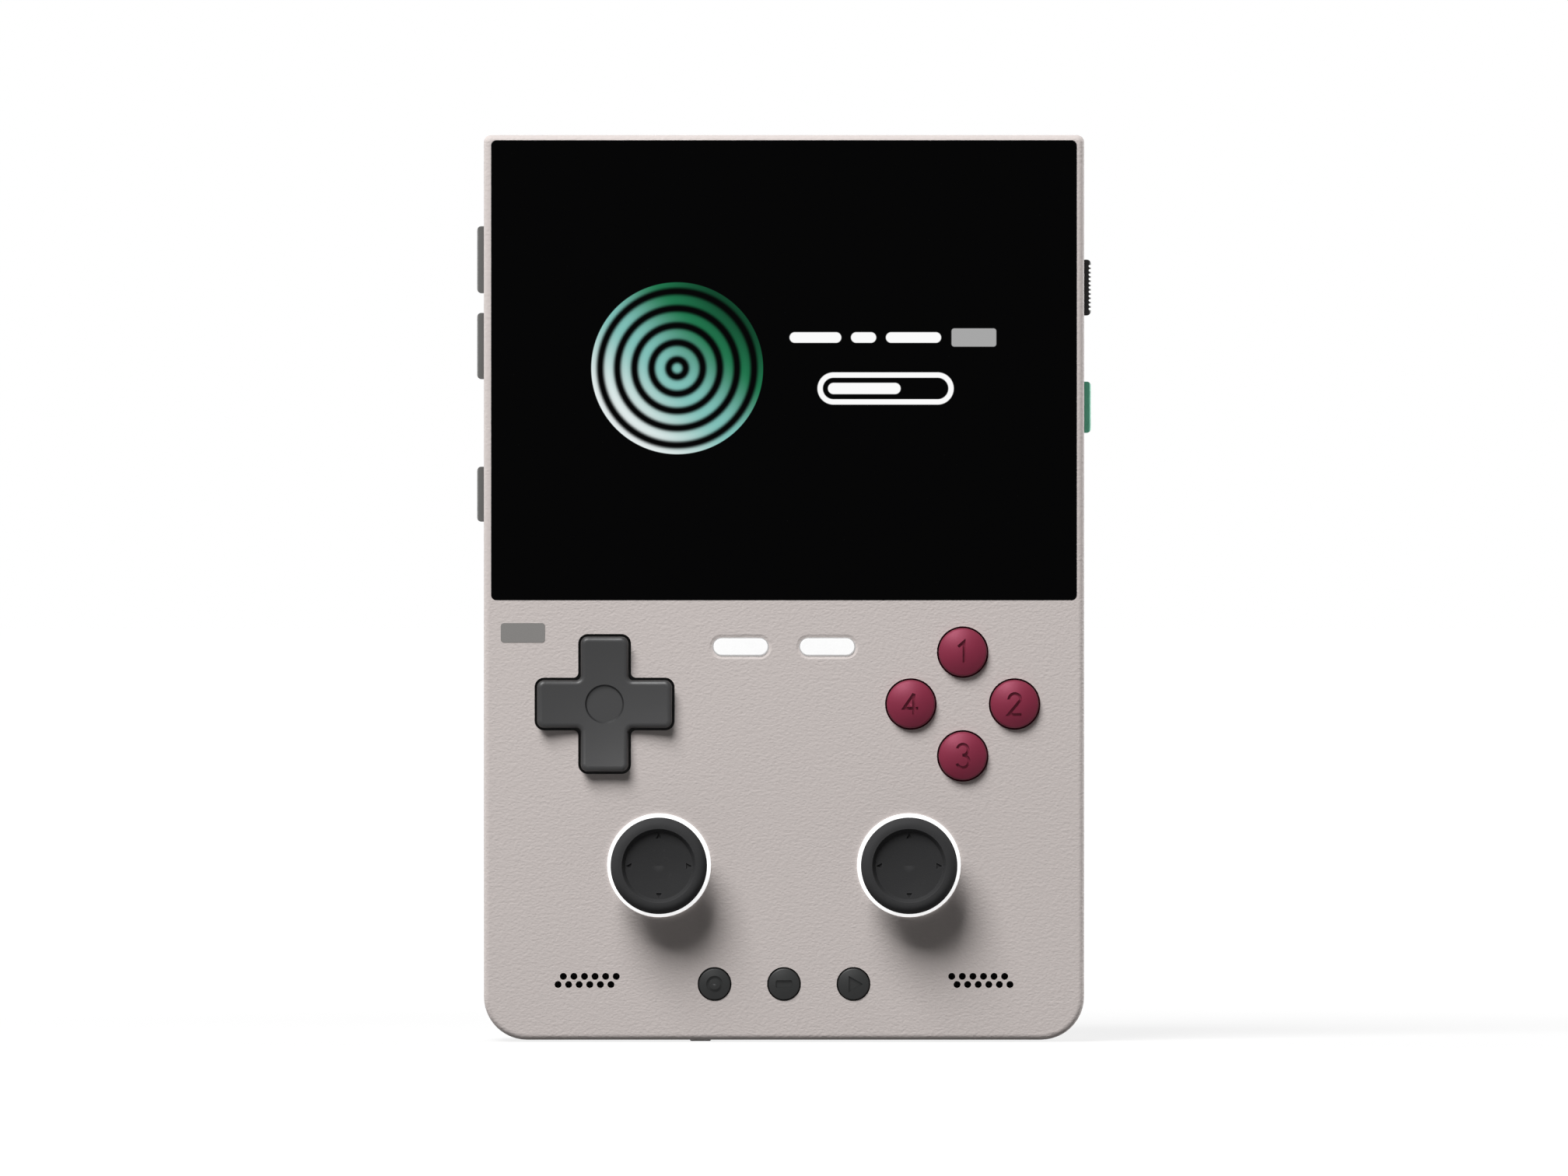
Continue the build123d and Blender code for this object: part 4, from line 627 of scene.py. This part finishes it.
def add_lathe(shape, middle, profile, steps=64):
    """Ring turned about an upright axis from a closed profile of radius and height."""
    loops = []
    for step in range(steps):
        angle = 2 * math.pi * step / steps
        loops.append([
            shape.verts.new((middle[0] + r * math.cos(angle), middle[1] + r * math.sin(angle), h))
            for r, h in profile
        ])
    for index, loop in enumerate(loops):
        after = loops[(index + 1) % steps]
        for point in range(len(profile)):
            other = (point + 1) % len(profile)
            shape.faces.new((loop[point], loop[other], after[other], after[point]))


def box_middle(name):
    """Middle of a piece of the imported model."""
    low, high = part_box(name)
    return (low + high) / 2


# Settings


def colour_property(name, description, default):
    """Colour as a screen shows it."""
    return FloatVectorProperty(
        name=name, description=description, default=default, subtype="COLOR_GAMMA", min=0.0, max=1.0
    )


def metres(name, description, default):
    """Length in metres."""
    return FloatProperty(name=name, description=description, default=default, unit="LENGTH", precision=5)


def degrees(name, description, turn):
    """Angle that is written here in degrees."""
    default = math.radians(turn)
    return FloatProperty(name=name, description=description, default=default, subtype="ANGLE")


def watts(name, description, default):
    """Power of a lamp in watts."""
    return FloatProperty(name=name, description=description, default=default, unit="POWER", min=0.0)


def light_property(name, description, default):
    """Strength of light, where 1 is seen as white."""
    return FloatProperty(name=name, description=description, default=default, min=0.0)


def count_property(name, description, default):
    """Number of like things."""
    return IntProperty(name=name, description=description, default=default, min=1)


class ConsoleColours(bpy.types.PropertyGroup):
    """Colours of the console, as a screen shows them, and the strength of its lights."""

    case: colour_property("Case", "Colour of the two shells", (0.774, 0.741, 0.729))
    glass: colour_property("Glass", "Colour of the cover glass", (0.006, 0.006, 0.007))
    patch: colour_property("Patch", "Colour of the patch under the screen", (0.486, 0.478, 0.47))
    direction_pad: colour_property("Direction pad", "Colour of the pad", (0.15, 0.15, 0.153))
    face_button: colour_property("Face buttons", "Colour of the round buttons", (0.43, 0.12, 0.2))
    button_sheen: colour_property("Button sheen", "Colour of their sheen", (1.0, 0.66, 0.76))
    function_key: colour_property("Function keys", "Colour of the small keys", (0.11, 0.113, 0.113))
    stick: colour_property("Thumbsticks", "Colour of their rubber", (0.205, 0.205, 0.208))
    side_key: colour_property("Side keys", "Colour of the keys at the left", (0.34, 0.34, 0.335))
    slide_key: colour_property("Slide key", "Colour of the ribbed key", (0.13, 0.125, 0.125))
    shoulder_key: colour_property("Shoulder keys", "Colour of the back's keys", (0.24, 0.24, 0.245))
    power_key: colour_property("Power key", "Colour of the power key", (0.43, 0.81, 0.67))
    glow: colour_property("Lights", "Colour of the rings and pill keys", (1.0, 1.0, 1.0))
    ring_light: light_property("Ring light", "Strength of the rings' light", 0.85)
    pill_light: light_property("Pill light", "Strength of the pill keys' light", 0.4)
    picture_pale: colour_property("Picture, pale", "Colour at its lower left", (0.9, 0.93, 0.93))
    picture_teal: colour_property("Picture, teal", "Colour of its middle", (0.5, 0.75, 0.72))
    picture_green: colour_property("Picture, green", "Colour at its upper right", (0.13, 0.47, 0.31))
    picture_bars: colour_property("Picture, bars", "Colour of its bars", (0.98, 0.98, 0.98))
    board: colour_property("Boards", "Colour of the circuit boards", (0.05, 0.26, 0.17))
    solder_pad: colour_property("Solder pads", "Colour of the boards' pads", (0.82, 0.68, 0.4))
    battery: colour_property("Battery", "Colour of the battery's foil", (0.45, 0.46, 0.48))


class ConsoleSizes(bpy.types.PropertyGroup):
    """Sizes of what the finishes and the small fittings add."""

    grain: metres("Grain", "Size of the case's grain", 0.42 * MM)
    grain_depth: metres("Grain depth", "Depth of the case's grain", 0.07 * MM)
    ring_lit: metres("Ring glow", "Depth to which a ring glows", 1.5 * MM)
    pill_lit: metres("Pill glow", "Depth to which a pill key glows", 0.8 * MM)
    # Radii of the painted highlight that lightens a stick's rim
    rim_highlight_start: metres("Rim start", "Radius at which a stick's rim sets in", 5.0 * MM)
    rim_highlight_full: metres("Rim full", "Radius from which the rim is whole", 5.5 * MM)
    rib_start: metres("Rib start", "Radius at which a stick's ribs set in", 6.72 * MM)
    rib_full: metres("Rib full", "Radius from which the ribs are whole", 6.86 * MM)
    rib_count: count_property("Ribs", "Ribs round the side of a thumbstick's cap", 54)
    patch_width: metres("Patch width", "Width of the printed patch", 6.35 * MM)
    patch_height: metres("Patch height", "Height of the printed patch", 2.8 * MM)
    patch_corner: metres("Patch corner", "Corner radius of the patch", 0.45 * MM)
    patch_thickness: metres("Patch thickness", "Thickness of the patch", 0.04 * MM)
    patch_inset: metres("Patch inset", "From the case's side to its middle", 5.6 * MM)
    patch_drop: metres("Patch drop", "From the glass down to its middle", 4.7 * MM)
    contact_count: count_property("Contacts", "Contact strips on each side of the tongue", 12)
    contact_width: metres("Contact width", "Width of a contact strip", 0.25 * MM)
    half_contact: metres("Half contact", "Half a strip's thickness", 0.03 * MM)
    contact_pitch: metres("Contact pitch", "From one strip to the next", 0.5 * MM)
    contact_inset: metres("Contact inset", "From the mouth to the strips", 1.4 * MM)
    contact_back: metres("Contact back", "From the strips to the back", 0.9 * MM)
    half_tongue: metres("Half tongue", "Half the tongue's thickness", 0.35 * MM)
    eyelet_bore: metres("Eyelet bore", "Inner radius of the eyelet", 1.81 * MM)
    eyelet_radius: metres("Eyelet radius", "Outer radius of the eyelet", 2.38 * MM)
    eyelet_depth: metres("Eyelet depth", "How far it reaches inwards", 0.3 * MM)
    eyelet_rim: metres("Eyelet rim", "How far its rim stands out", 0.09 * MM)


class StudioSettings(bpy.types.PropertyGroup):
    """Camera, lamps and floor."""

    camera_distance: metres("Camera distance", "From the camera to the face", 3.0)
    camera_height: metres("Camera height", "Camera above the base", 64.72 * MM)
    view_width: metres("View width", "Width taken in at the face", 224.6 * MM)
    floor_gap: metres("Floor gap", "From the base down to the floor", 0.3 * MM)
    floor_reach: metres("Floor reach", "From the middle to the floor's end", 30.0)
    key_distance: metres("Key lamp distance", "From the face to the main lamp", 1.35)
    key_turn: degrees("Key lamp turn", "How far it stands to the left", 28.0)
    key_rise: degrees("Key lamp rise", "How far it stands above the face", 49.0)
    key_size: metres("Key lamp size", "Side of the main lamp", 0.72)
    key_power: watts("Key lamp power", "Power of the main lamp", 29.0)
    edge_distance: metres("Edge lamp distance", "From the face to the edge lamps", 1.1)
    edge_turn: degrees("Edge lamp turn", "How far they stand to either side", 115.0)
    edge_rise: degrees("Edge lamp rise", "How far they stand above the face", 8.0)
    edge_size: metres("Edge lamp size", "Side of an edge lamp", 0.5)
    left_power: watts("Left lamp power", "Power of the left edge lamp", 5.0)
    right_power: watts("Right lamp power", "Power of the right edge lamp", 11.0)
    sky: light_property("Sky", "Strength of the even light all round", 0.035)
    floor_near: light_property("Floor glow, near", "Light of the floor by the console", 0.82)
    floor_far: light_property("Floor glow, far", "Light of the floor far away", 1.0)
    near_reach: metres("Near floor", "How far the near glow reaches", 0.12)
    far_reach: metres("Far floor", "Where the far glow is whole", 0.6)


# Operators


class CONSOLE_OT_case(bpy.types.Operator):
    """Dress the shells and the reset key, and add the printed patch"""

    bl_idname = "console.case"
    bl_label = "Case"

    def execute(self, context):
        colours, sizes = context.scene.console_colours, context.scene.console_sizes
        dress(case_plastic(colours, sizes), "front_shell", "rear_shell", "reset_key")
        low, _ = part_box("front_shell")
        glass_low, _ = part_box("cover_glass")
        middle = (low.x + sizes.patch_inset, low.y, glass_low.z - sizes.patch_drop)
        shape = bmesh.new()
        add_round_patch(
            shape,
            middle,
            width=sizes.patch_width,
            height=sizes.patch_height,
            corner=sizes.patch_corner,
            thickness=sizes.patch_thickness,
            edge=sizes.patch_thickness / 3,
        )
        add_piece("printed_patch", shape, printed_ink(colours), "console")
        return {"FINISHED"}


class CONSOLE_OT_screen(bpy.types.Operator):
    """Dress the cover glass and the layers behind it"""

    bl_idname = "console.screen"
    bl_label = "Screen"

    def execute(self, context):
        _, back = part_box("lcd_panel")
        middle = box_middle("lcd_panel")
        dress(cover_glass(context.scene.console_colours, (middle.x, middle.z)), "cover_glass")
        dress(clear_adhesive(), "optical_adhesive")
        dress(panel_stack(back.y), "lcd_panel")
        dress(open_foam(), "screen_foam")
        dress(brushed("plate_steel", (0.7, 0.7, 0.71), (0.05, 1.0, 1.0)), "mid_plate")
        return {"FINISHED"}


class CONSOLE_OT_direction_pad(bpy.types.Operator):
    """Dress the direction pad and what it rocks on"""

    bl_idname = "console.direction_pad"
    bl_label = "Direction pad"

    def execute(self, context):
        colour = context.scene.console_colours.direction_pad
        skin = {"grain": 0.25 * MM, "depth": 0.005 * MM}
        satin = moulded("direction_pad", colour, roughness=0.46, worn=1.7, specular=0.5, **skin)
        dress(satin, "dpad")
        steel = brushed("pivot_steel", (0.72, 0.72, 0.73), (1.0, 1.0, 0.2), roughness=0.24)
        dress(steel, "dpad_ball", "dpad_post")
        dress(soft_rubber("dome_rubber", (0.72, 0.72, 0.71)), "dpad_membrane")
        return {"FINISHED"}


class CONSOLE_OT_buttons(bpy.types.Operator):
    """Dress the four face buttons and their rubber mat"""

    bl_idname = "console.buttons"
    bl_label = "Face buttons"

    def execute(self, context):
        names = [f"button_{place}" for place in ("top", "right", "bottom", "left")]
        dress(button_plastic(context.scene.console_colours), *names)
        dress(soft_rubber("mat_rubber", (0.74, 0.73, 0.72)), "button_membrane")
        return {"FINISHED"}


class CONSOLE_OT_lit_keys(bpy.types.Operator):
    """Dress the lit pill keys and the rings round the thumbsticks"""

    bl_idname = "console.lit_keys"
    bl_label = "Lit keys and rings"

    def execute(self, context):
        colours, sizes = context.scene.console_colours, context.scene.console_sizes
        ring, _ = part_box("light_rings")
        key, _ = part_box("pill_key_left")
        guide = glowing_plastic("lit_ring", colours.glow, colours.ring_light, ring.y, sizes.ring_lit)
        dress(guide, "light_rings")
        milky = glowing_plastic("lit_key", colours.glow, colours.pill_light, key.y, sizes.pill_lit)
        dress(milky, "pill_key_left", "pill_key_right")
        return {"FINISHED"}


class CONSOLE_OT_function_keys(bpy.types.Operator):
    """Dress the three small keys and their rubber mat"""

    bl_idname = "console.function_keys"
    bl_label = "Function keys"

    def execute(self, context):
        colour = context.scene.console_colours.function_key
        skin = {"grain": 0.2 * MM, "depth": 0.004 * MM}
        satin = moulded("function_key", colour, roughness=0.46, worn=1.6, specular=0.32, **skin)
        dress(satin, *[f"function_key_{place}" for place in ("left", "middle", "right")])
        dress(soft_rubber("strip_rubber", (0.7, 0.7, 0.7)), "function_membrane")
        return {"FINISHED"}


class CONSOLE_OT_thumbsticks(bpy.types.Operator):
    """Dress the thumbsticks, their gimbals and housings"""

    bl_idname = "console.thumbsticks"
    bl_label = "Thumbsticks"

    def execute(self, context):
        colours, sizes = context.scene.console_colours, context.scene.console_sizes
        grey = (0.3, 0.3, 0.31)
        gimbal = moulded("gimbal_plastic", grey, roughness=0.4, grain=0.2 * MM, depth=0.003 * MM)
        for side in ("left", "right"):
            middle = box_middle(f"stick_{side}")
            rubber = stick_rubber(f"stick_rubber_{side}", colours.stick, (middle.x, middle.z), sizes)
            dress(rubber, f"stick_{side}")
            dress(gimbal, f"stick_rocker_{side}", f"stick_yoke_{side}")
        dark = (0.16, 0.16, 0.165)
        dress(moulded("housing_plastic", dark, roughness=0.5, grain=0.4 * MM), "stick_housings")
        return {"FINISHED"}


class CONSOLE_OT_side_keys(bpy.types.Operator):
    """Dress the keys in the sides, their switches and boards"""

    bl_idname = "console.side_keys"
    bl_label = "Side keys"

    def execute(self, context):
        colours = context.scene.console_colours
        skin = {"grain": 0.2 * MM, "depth": 0.004 * MM}
        dark = moulded("side_key", colours.side_key, roughness=0.36, worn=1.5, specular=0.25, **skin)
        dress(dark, "side_key_upper", "side_key_middle", "side_key_lower")
        ribbed = moulded("slide_key", colours.slide_key, roughness=0.42, worn=1.6, **skin)
        dress(ribbed, "lock_slider")
        green = moulded("power_key", colours.power_key, roughness=0.36, worn=1.2, specular=0.25, **skin)
        dress(green, "power_key")
        black = moulded("switch_plastic", (0.14, 0.14, 0.145), roughness=0.5)
        dress(black, "tact_switches", "slide_switch")
        return {"FINISHED"}


class CONSOLE_OT_shoulder_keys(bpy.types.Operator):
    """Dress the bumpers and triggers on the back"""

    bl_idname = "console.shoulder_keys"
    bl_label = "Shoulder keys"

    def execute(self, context):
        colour = context.scene.console_colours.shoulder_key
        skin = {"grain": 0.45 * MM, "depth": 0.014 * MM}
        grained = moulded("shoulder_key", colour, roughness=0.42, worn=1.7, specular=0.3, **skin)
        dress(grained, "bumper_left", "bumper_right", "trigger_left", "trigger_right")
        return {"FINISHED"}


class CONSOLE_OT_sockets(bpy.types.Operator):
    """Dress the sockets in the bottom edge and add their contacts"""

    bl_idname = "console.sockets"
    bl_label = "Sockets"

    def execute(self, context):
        sizes = context.scene.console_sizes
        steel, brass = (0.74, 0.74, 0.75), (0.86, 0.7, 0.38)
        shell = brushed("socket_steel", steel, (1.0, 1.0, 0.08), roughness=0.28, size=0.3 * MM)
        gold = brushed("contact_gold", brass, (1.0, 1.0, 0.1), roughness=0.24, size=0.2 * MM)
        dress(shell, "usb_socket", "card_socket")
        dress(moulded("socket_plastic", (0.09, 0.09, 0.09), grain=0.2 * MM), "headphone_socket")
        card = moulded("card_plastic", (0.1, 0.1, 0.105), roughness=0.4, grain=0.2 * MM)
        dress(card, "memory_card")
        add_piece("usb_contacts", self.contacts(sizes), gold, "console")
        add_piece("headphone_eyelet", self.eyelet(sizes), shell, "console")
        return {"FINISHED"}

    def contacts(self, sizes):
        """Rows of contact strips on both sides of the tongue in the flat socket."""
        strips = bmesh.new()
        low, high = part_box("usb_socket")
        middle = box_middle("usb_socket")
        half_width, half_depth = sizes.contact_width / 2, sizes.half_contact
        bottom, top = low.z + sizes.contact_inset, high.z - sizes.contact_back
        edge = half_depth / 3
        for number in range(sizes.contact_count):
            x = middle.x + (number - (sizes.contact_count - 1) / 2) * sizes.contact_pitch
            for face in (-1, 1):
                y = middle.y + face * (sizes.half_tongue + edge)
                near = (x - half_width, y - half_depth, bottom)
                add_strip(strips, near, (x + half_width, y + half_depth, top), edge)
        return strips

    def eyelet(self, sizes):
        """Thin metal rim round the mouth of the round socket."""
        ring = bmesh.new()
        low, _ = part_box("headphone_socket")
        middle = box_middle("headphone_socket")
        side, seat = 0.02 * MM, 0.05 * MM
        inner_bevel, outer_bevel = 0.08 * MM, 0.1 * MM
        profile = (
            (sizes.eyelet_bore, low.z + sizes.eyelet_depth),
            (sizes.eyelet_bore, low.z - side),
            (sizes.eyelet_bore + inner_bevel, low.z - sizes.eyelet_rim),
            (sizes.eyelet_radius - outer_bevel, low.z - sizes.eyelet_rim),
            (sizes.eyelet_radius, low.z - side),
            (sizes.eyelet_radius, low.z + seat),
        )
        add_lathe(ring, (middle.x, middle.y), profile)
        return ring


class CONSOLE_OT_boards(bpy.types.Operator):
    """Dress the circuit boards, the chips and the shield"""

    bl_idname = "console.boards"
    bl_label = "Boards"

    def execute(self, context):
        board = circuit_board(context.scene.console_colours)
        dress(board, "main_board", "shoulder_board", "side_board_left", "side_board_right")
        black = (0.1, 0.1, 0.11)
        resin = moulded("chip_resin", black, roughness=0.55, grain=0.25 * MM, depth=0.01 * MM)
        dress(resin, "board_chips")
        dress(brushed("shield_steel", (0.72, 0.72, 0.72), (1.0, 1.0, 0.06)), "processor_shield")
        return {"FINISHED"}


class CONSOLE_OT_power_and_sound(bpy.types.Operator):
    """Dress the battery, the vibration motor and the speakers"""

    bl_idname = "console.power_and_sound"
    bl_label = "Power and sound"

    def execute(self, context):
        dress(foil_wrap(context.scene.console_colours), "battery")
        steel = brushed("motor_steel", (0.7, 0.7, 0.71), (1.0, 0.1, 1.0), roughness=0.26)
        dress(steel, "vibration_motor")
        dark = moulded("speaker_frame", (0.12, 0.12, 0.12), roughness=0.5)
        dress(dark, "speaker_left", "speaker_right")
        dress(woven_mesh(), "speaker_mesh")
        return {"FINISHED"}


class CONSOLE_OT_fasteners(bpy.types.Operator):
    """Dress the screws"""

    bl_idname = "console.fasteners"
    bl_label = "Fasteners"

    def execute(self, context):
        grey = (0.42, 0.42, 0.44)
        steel = brushed("screw_steel", grey, (1.0, 1.0, 1.0), roughness=0.3, size=0.4 * MM)
        dress(steel, "case_screws", "inner_screws")
        return {"FINISHED"}


def aim(thing, target):
    """Turn a camera or lamp towards a point."""
    thing.rotation_euler = (Vector(target) - thing.location).to_track_quat("-Z", "Y").to_euler()


def add_lamp(name, place, target, size, power):
    """Square soft lamp that shines at a point."""
    lamp = bpy.data.lights.new(name, "AREA")
    lamp.shape = "SQUARE"
    lamp.size = size
    lamp.energy = power
    thing = bpy.data.objects.new(name, lamp)
    thing.location = place
    bpy.context.scene.collection.objects.link(thing)
    aim(thing, target)


def add_floor(reach, height, material):
    """Flat square floor."""
    mesh = bpy.data.meshes.new("floor")
    corners = [(x * reach, y * reach, height) for x, y in ((-1, -1), (1, -1), (1, 1), (-1, 1))]
    mesh.from_pydata(corners, [], [(0, 1, 2, 3)])
    mesh.materials.append(material)
    floor = bpy.data.objects.new("floor", mesh)
    bpy.context.scene.collection.objects.link(floor)


def add_camera(studio, target):
    """Camera straight in front of a point, taking in the photograph's width."""
    camera = bpy.data.cameras.new("studio_camera")
    camera.sensor_width = 36.0
    camera.sensor_fit = "HORIZONTAL"
    camera.lens = camera.sensor_width * studio.camera_distance / studio.view_width
    camera.clip_start = 10 * MM
    thing = bpy.data.objects.new("studio_camera", camera)
    thing.location = seen_from(target, 0.0, 0.0, studio.camera_distance)
    bpy.context.scene.collection.objects.link(thing)
    aim(thing, target)
    bpy.context.scene.camera = thing


def seen_rays(finish):
    """1 for rays of the camera, of mirrors and through glass, and 0 for the rest."""
    path = finish.node("ShaderNodeLightPath", {}, {})
    names = ("Is Camera Ray", "Is Glossy Ray", "Is Transmission Ray")
    camera, glossy, through = [Wire(finish, path.outputs[name]) for name in names]
    return finish.larger(finish.larger(camera, glossy), through)


def floor_paper(studio):
    """Paper floor that is seen as white and keeps the shadow."""
    finish = Finish("floor_paper")
    place = finish.place()
    fibres = finish.noise(place, 3 * MM, detail=3.0)
    paper = finish.mix(fibres, rgba((0.4, 0.4, 0.4)), rgba((0.42, 0.42, 0.42)))
    matt = finish.wire("ShaderNodeBsdfDiffuse", {}, {"Color": paper})
    away = finish.vectors("LENGTH", place, output="Value")
    far = finish.rise(away, studio.near_reach, studio.far_reach)
    glow = studio.floor_near + (studio.floor_far - studio.floor_near) * far
    light = finish.wire("ShaderNodeEmission", {}, {"Strength": seen_rays(finish) * glow})
    return finish.close(finish.wire("ShaderNodeAddShader", {}, {0: matt, 1: light}))


def light_sky(world, strength):
    """Even sky that is seen as white."""
    finish = Finish("studio_sky", world)
    seen = seen_rays(finish)
    sockets = {"Color": rgba((1.0, 1.0, 1.0)), "Strength": seen + (1 - seen) * strength}
    light = finish.wire("ShaderNodeBackground", {}, sockets)
    finish.node("ShaderNodeOutputWorld", {}, {"Surface": light})


def seen_from(target, turn, rise, distance):
    """Place at a distance from a target, turned to the left and raised."""
    level = distance * math.cos(rise)
    away = (-level * math.sin(turn), -level * math.cos(turn), distance * math.sin(rise))
    return Vector(target) + Vector(away)


class CONSOLE_OT_stage(bpy.types.Operator):
    """Set up the floor, the lamps, the sky and the camera"""

    bl_idname = "console.stage"
    bl_label = "Studio stage"

    def execute(self, context):
        scene = context.scene
        studio = scene.console_studio
        face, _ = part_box("front_shell")
        add_floor(studio.floor_reach, face.z - studio.floor_gap, floor_paper(studio))
        target = (0.0, face.y, studio.camera_height)
        place = seen_from(target, studio.key_turn, studio.key_rise, studio.key_distance)
        add_lamp("key_lamp", place, target, studio.key_size, studio.key_power)
        for side, turn, power in (
            ("left", studio.edge_turn, studio.left_power),
            ("right", -studio.edge_turn, studio.right_power),
        ):
            place = seen_from(target, turn, studio.edge_rise, studio.edge_distance)
            add_lamp(f"edge_lamp_{side}", place, target, studio.edge_size, power)
        scene.world = bpy.data.worlds.new("studio_sky")
        light_sky(scene.world, studio.sky)
        add_camera(studio, target)
        scene.view_settings.view_transform = "Standard"
        return {"FINISHED"}


OPERATORS = (
    CONSOLE_OT_case,
    CONSOLE_OT_screen,
    CONSOLE_OT_direction_pad,
    CONSOLE_OT_buttons,
    CONSOLE_OT_lit_keys,
    CONSOLE_OT_function_keys,
    CONSOLE_OT_thumbsticks,
    CONSOLE_OT_side_keys,
    CONSOLE_OT_shoulder_keys,
    CONSOLE_OT_sockets,
    CONSOLE_OT_boards,
    CONSOLE_OT_power_and_sound,
    CONSOLE_OT_fasteners,
    CONSOLE_OT_stage,
)


class CONSOLE_PT_sidebar(bpy.types.Panel):
    """Steps that dress the console, in their order, and their settings"""

    bl_idname = "CONSOLE_PT_sidebar"
    bl_label = "Handheld game console"
    bl_space_type = "VIEW_3D"
    bl_region_type = "UI"
    bl_category = "Console"

    def draw(self, context):
        scene = context.scene
        for operator in OPERATORS:
            self.layout.operator(operator.bl_idname)
        for group in (scene.console_colours, scene.console_sizes, scene.console_studio):
            box = self.layout.box()
            for name in group.bl_rna.properties.keys():
                if name not in ("rna_type", "name"):
                    box.prop(group, name)


CLASSES = (ConsoleColours, ConsoleSizes, StudioSettings, *OPERATORS, CONSOLE_PT_sidebar)


def register():
    """Make the classes and the settings known to Blender."""
    for one in CLASSES:
        bpy.utils.register_class(one)
    bpy.types.Scene.console_colours = PointerProperty(type=ConsoleColours)
    bpy.types.Scene.console_sizes = PointerProperty(type=ConsoleSizes)
    bpy.types.Scene.console_studio = PointerProperty(type=StudioSettings)


def unregister():
    """Take the classes and the settings away again."""
    del bpy.types.Scene.console_studio
    del bpy.types.Scene.console_sizes
    del bpy.types.Scene.console_colours
    for one in reversed(CLASSES):
        bpy.utils.unregister_class(one)


def main():
    """Dress the console and set up the stage."""
    register()
    bpy.ops.console.case()
    bpy.ops.console.screen()
    bpy.ops.console.direction_pad()
    bpy.ops.console.buttons()
    bpy.ops.console.lit_keys()
    bpy.ops.console.function_keys()
    bpy.ops.console.thumbsticks()
    bpy.ops.console.side_keys()
    bpy.ops.console.shoulder_keys()
    bpy.ops.console.sockets()
    bpy.ops.console.boards()
    bpy.ops.console.power_and_sound()
    bpy.ops.console.fasteners()
    bpy.ops.console.stage()


if __name__ == "__main__":
    main()
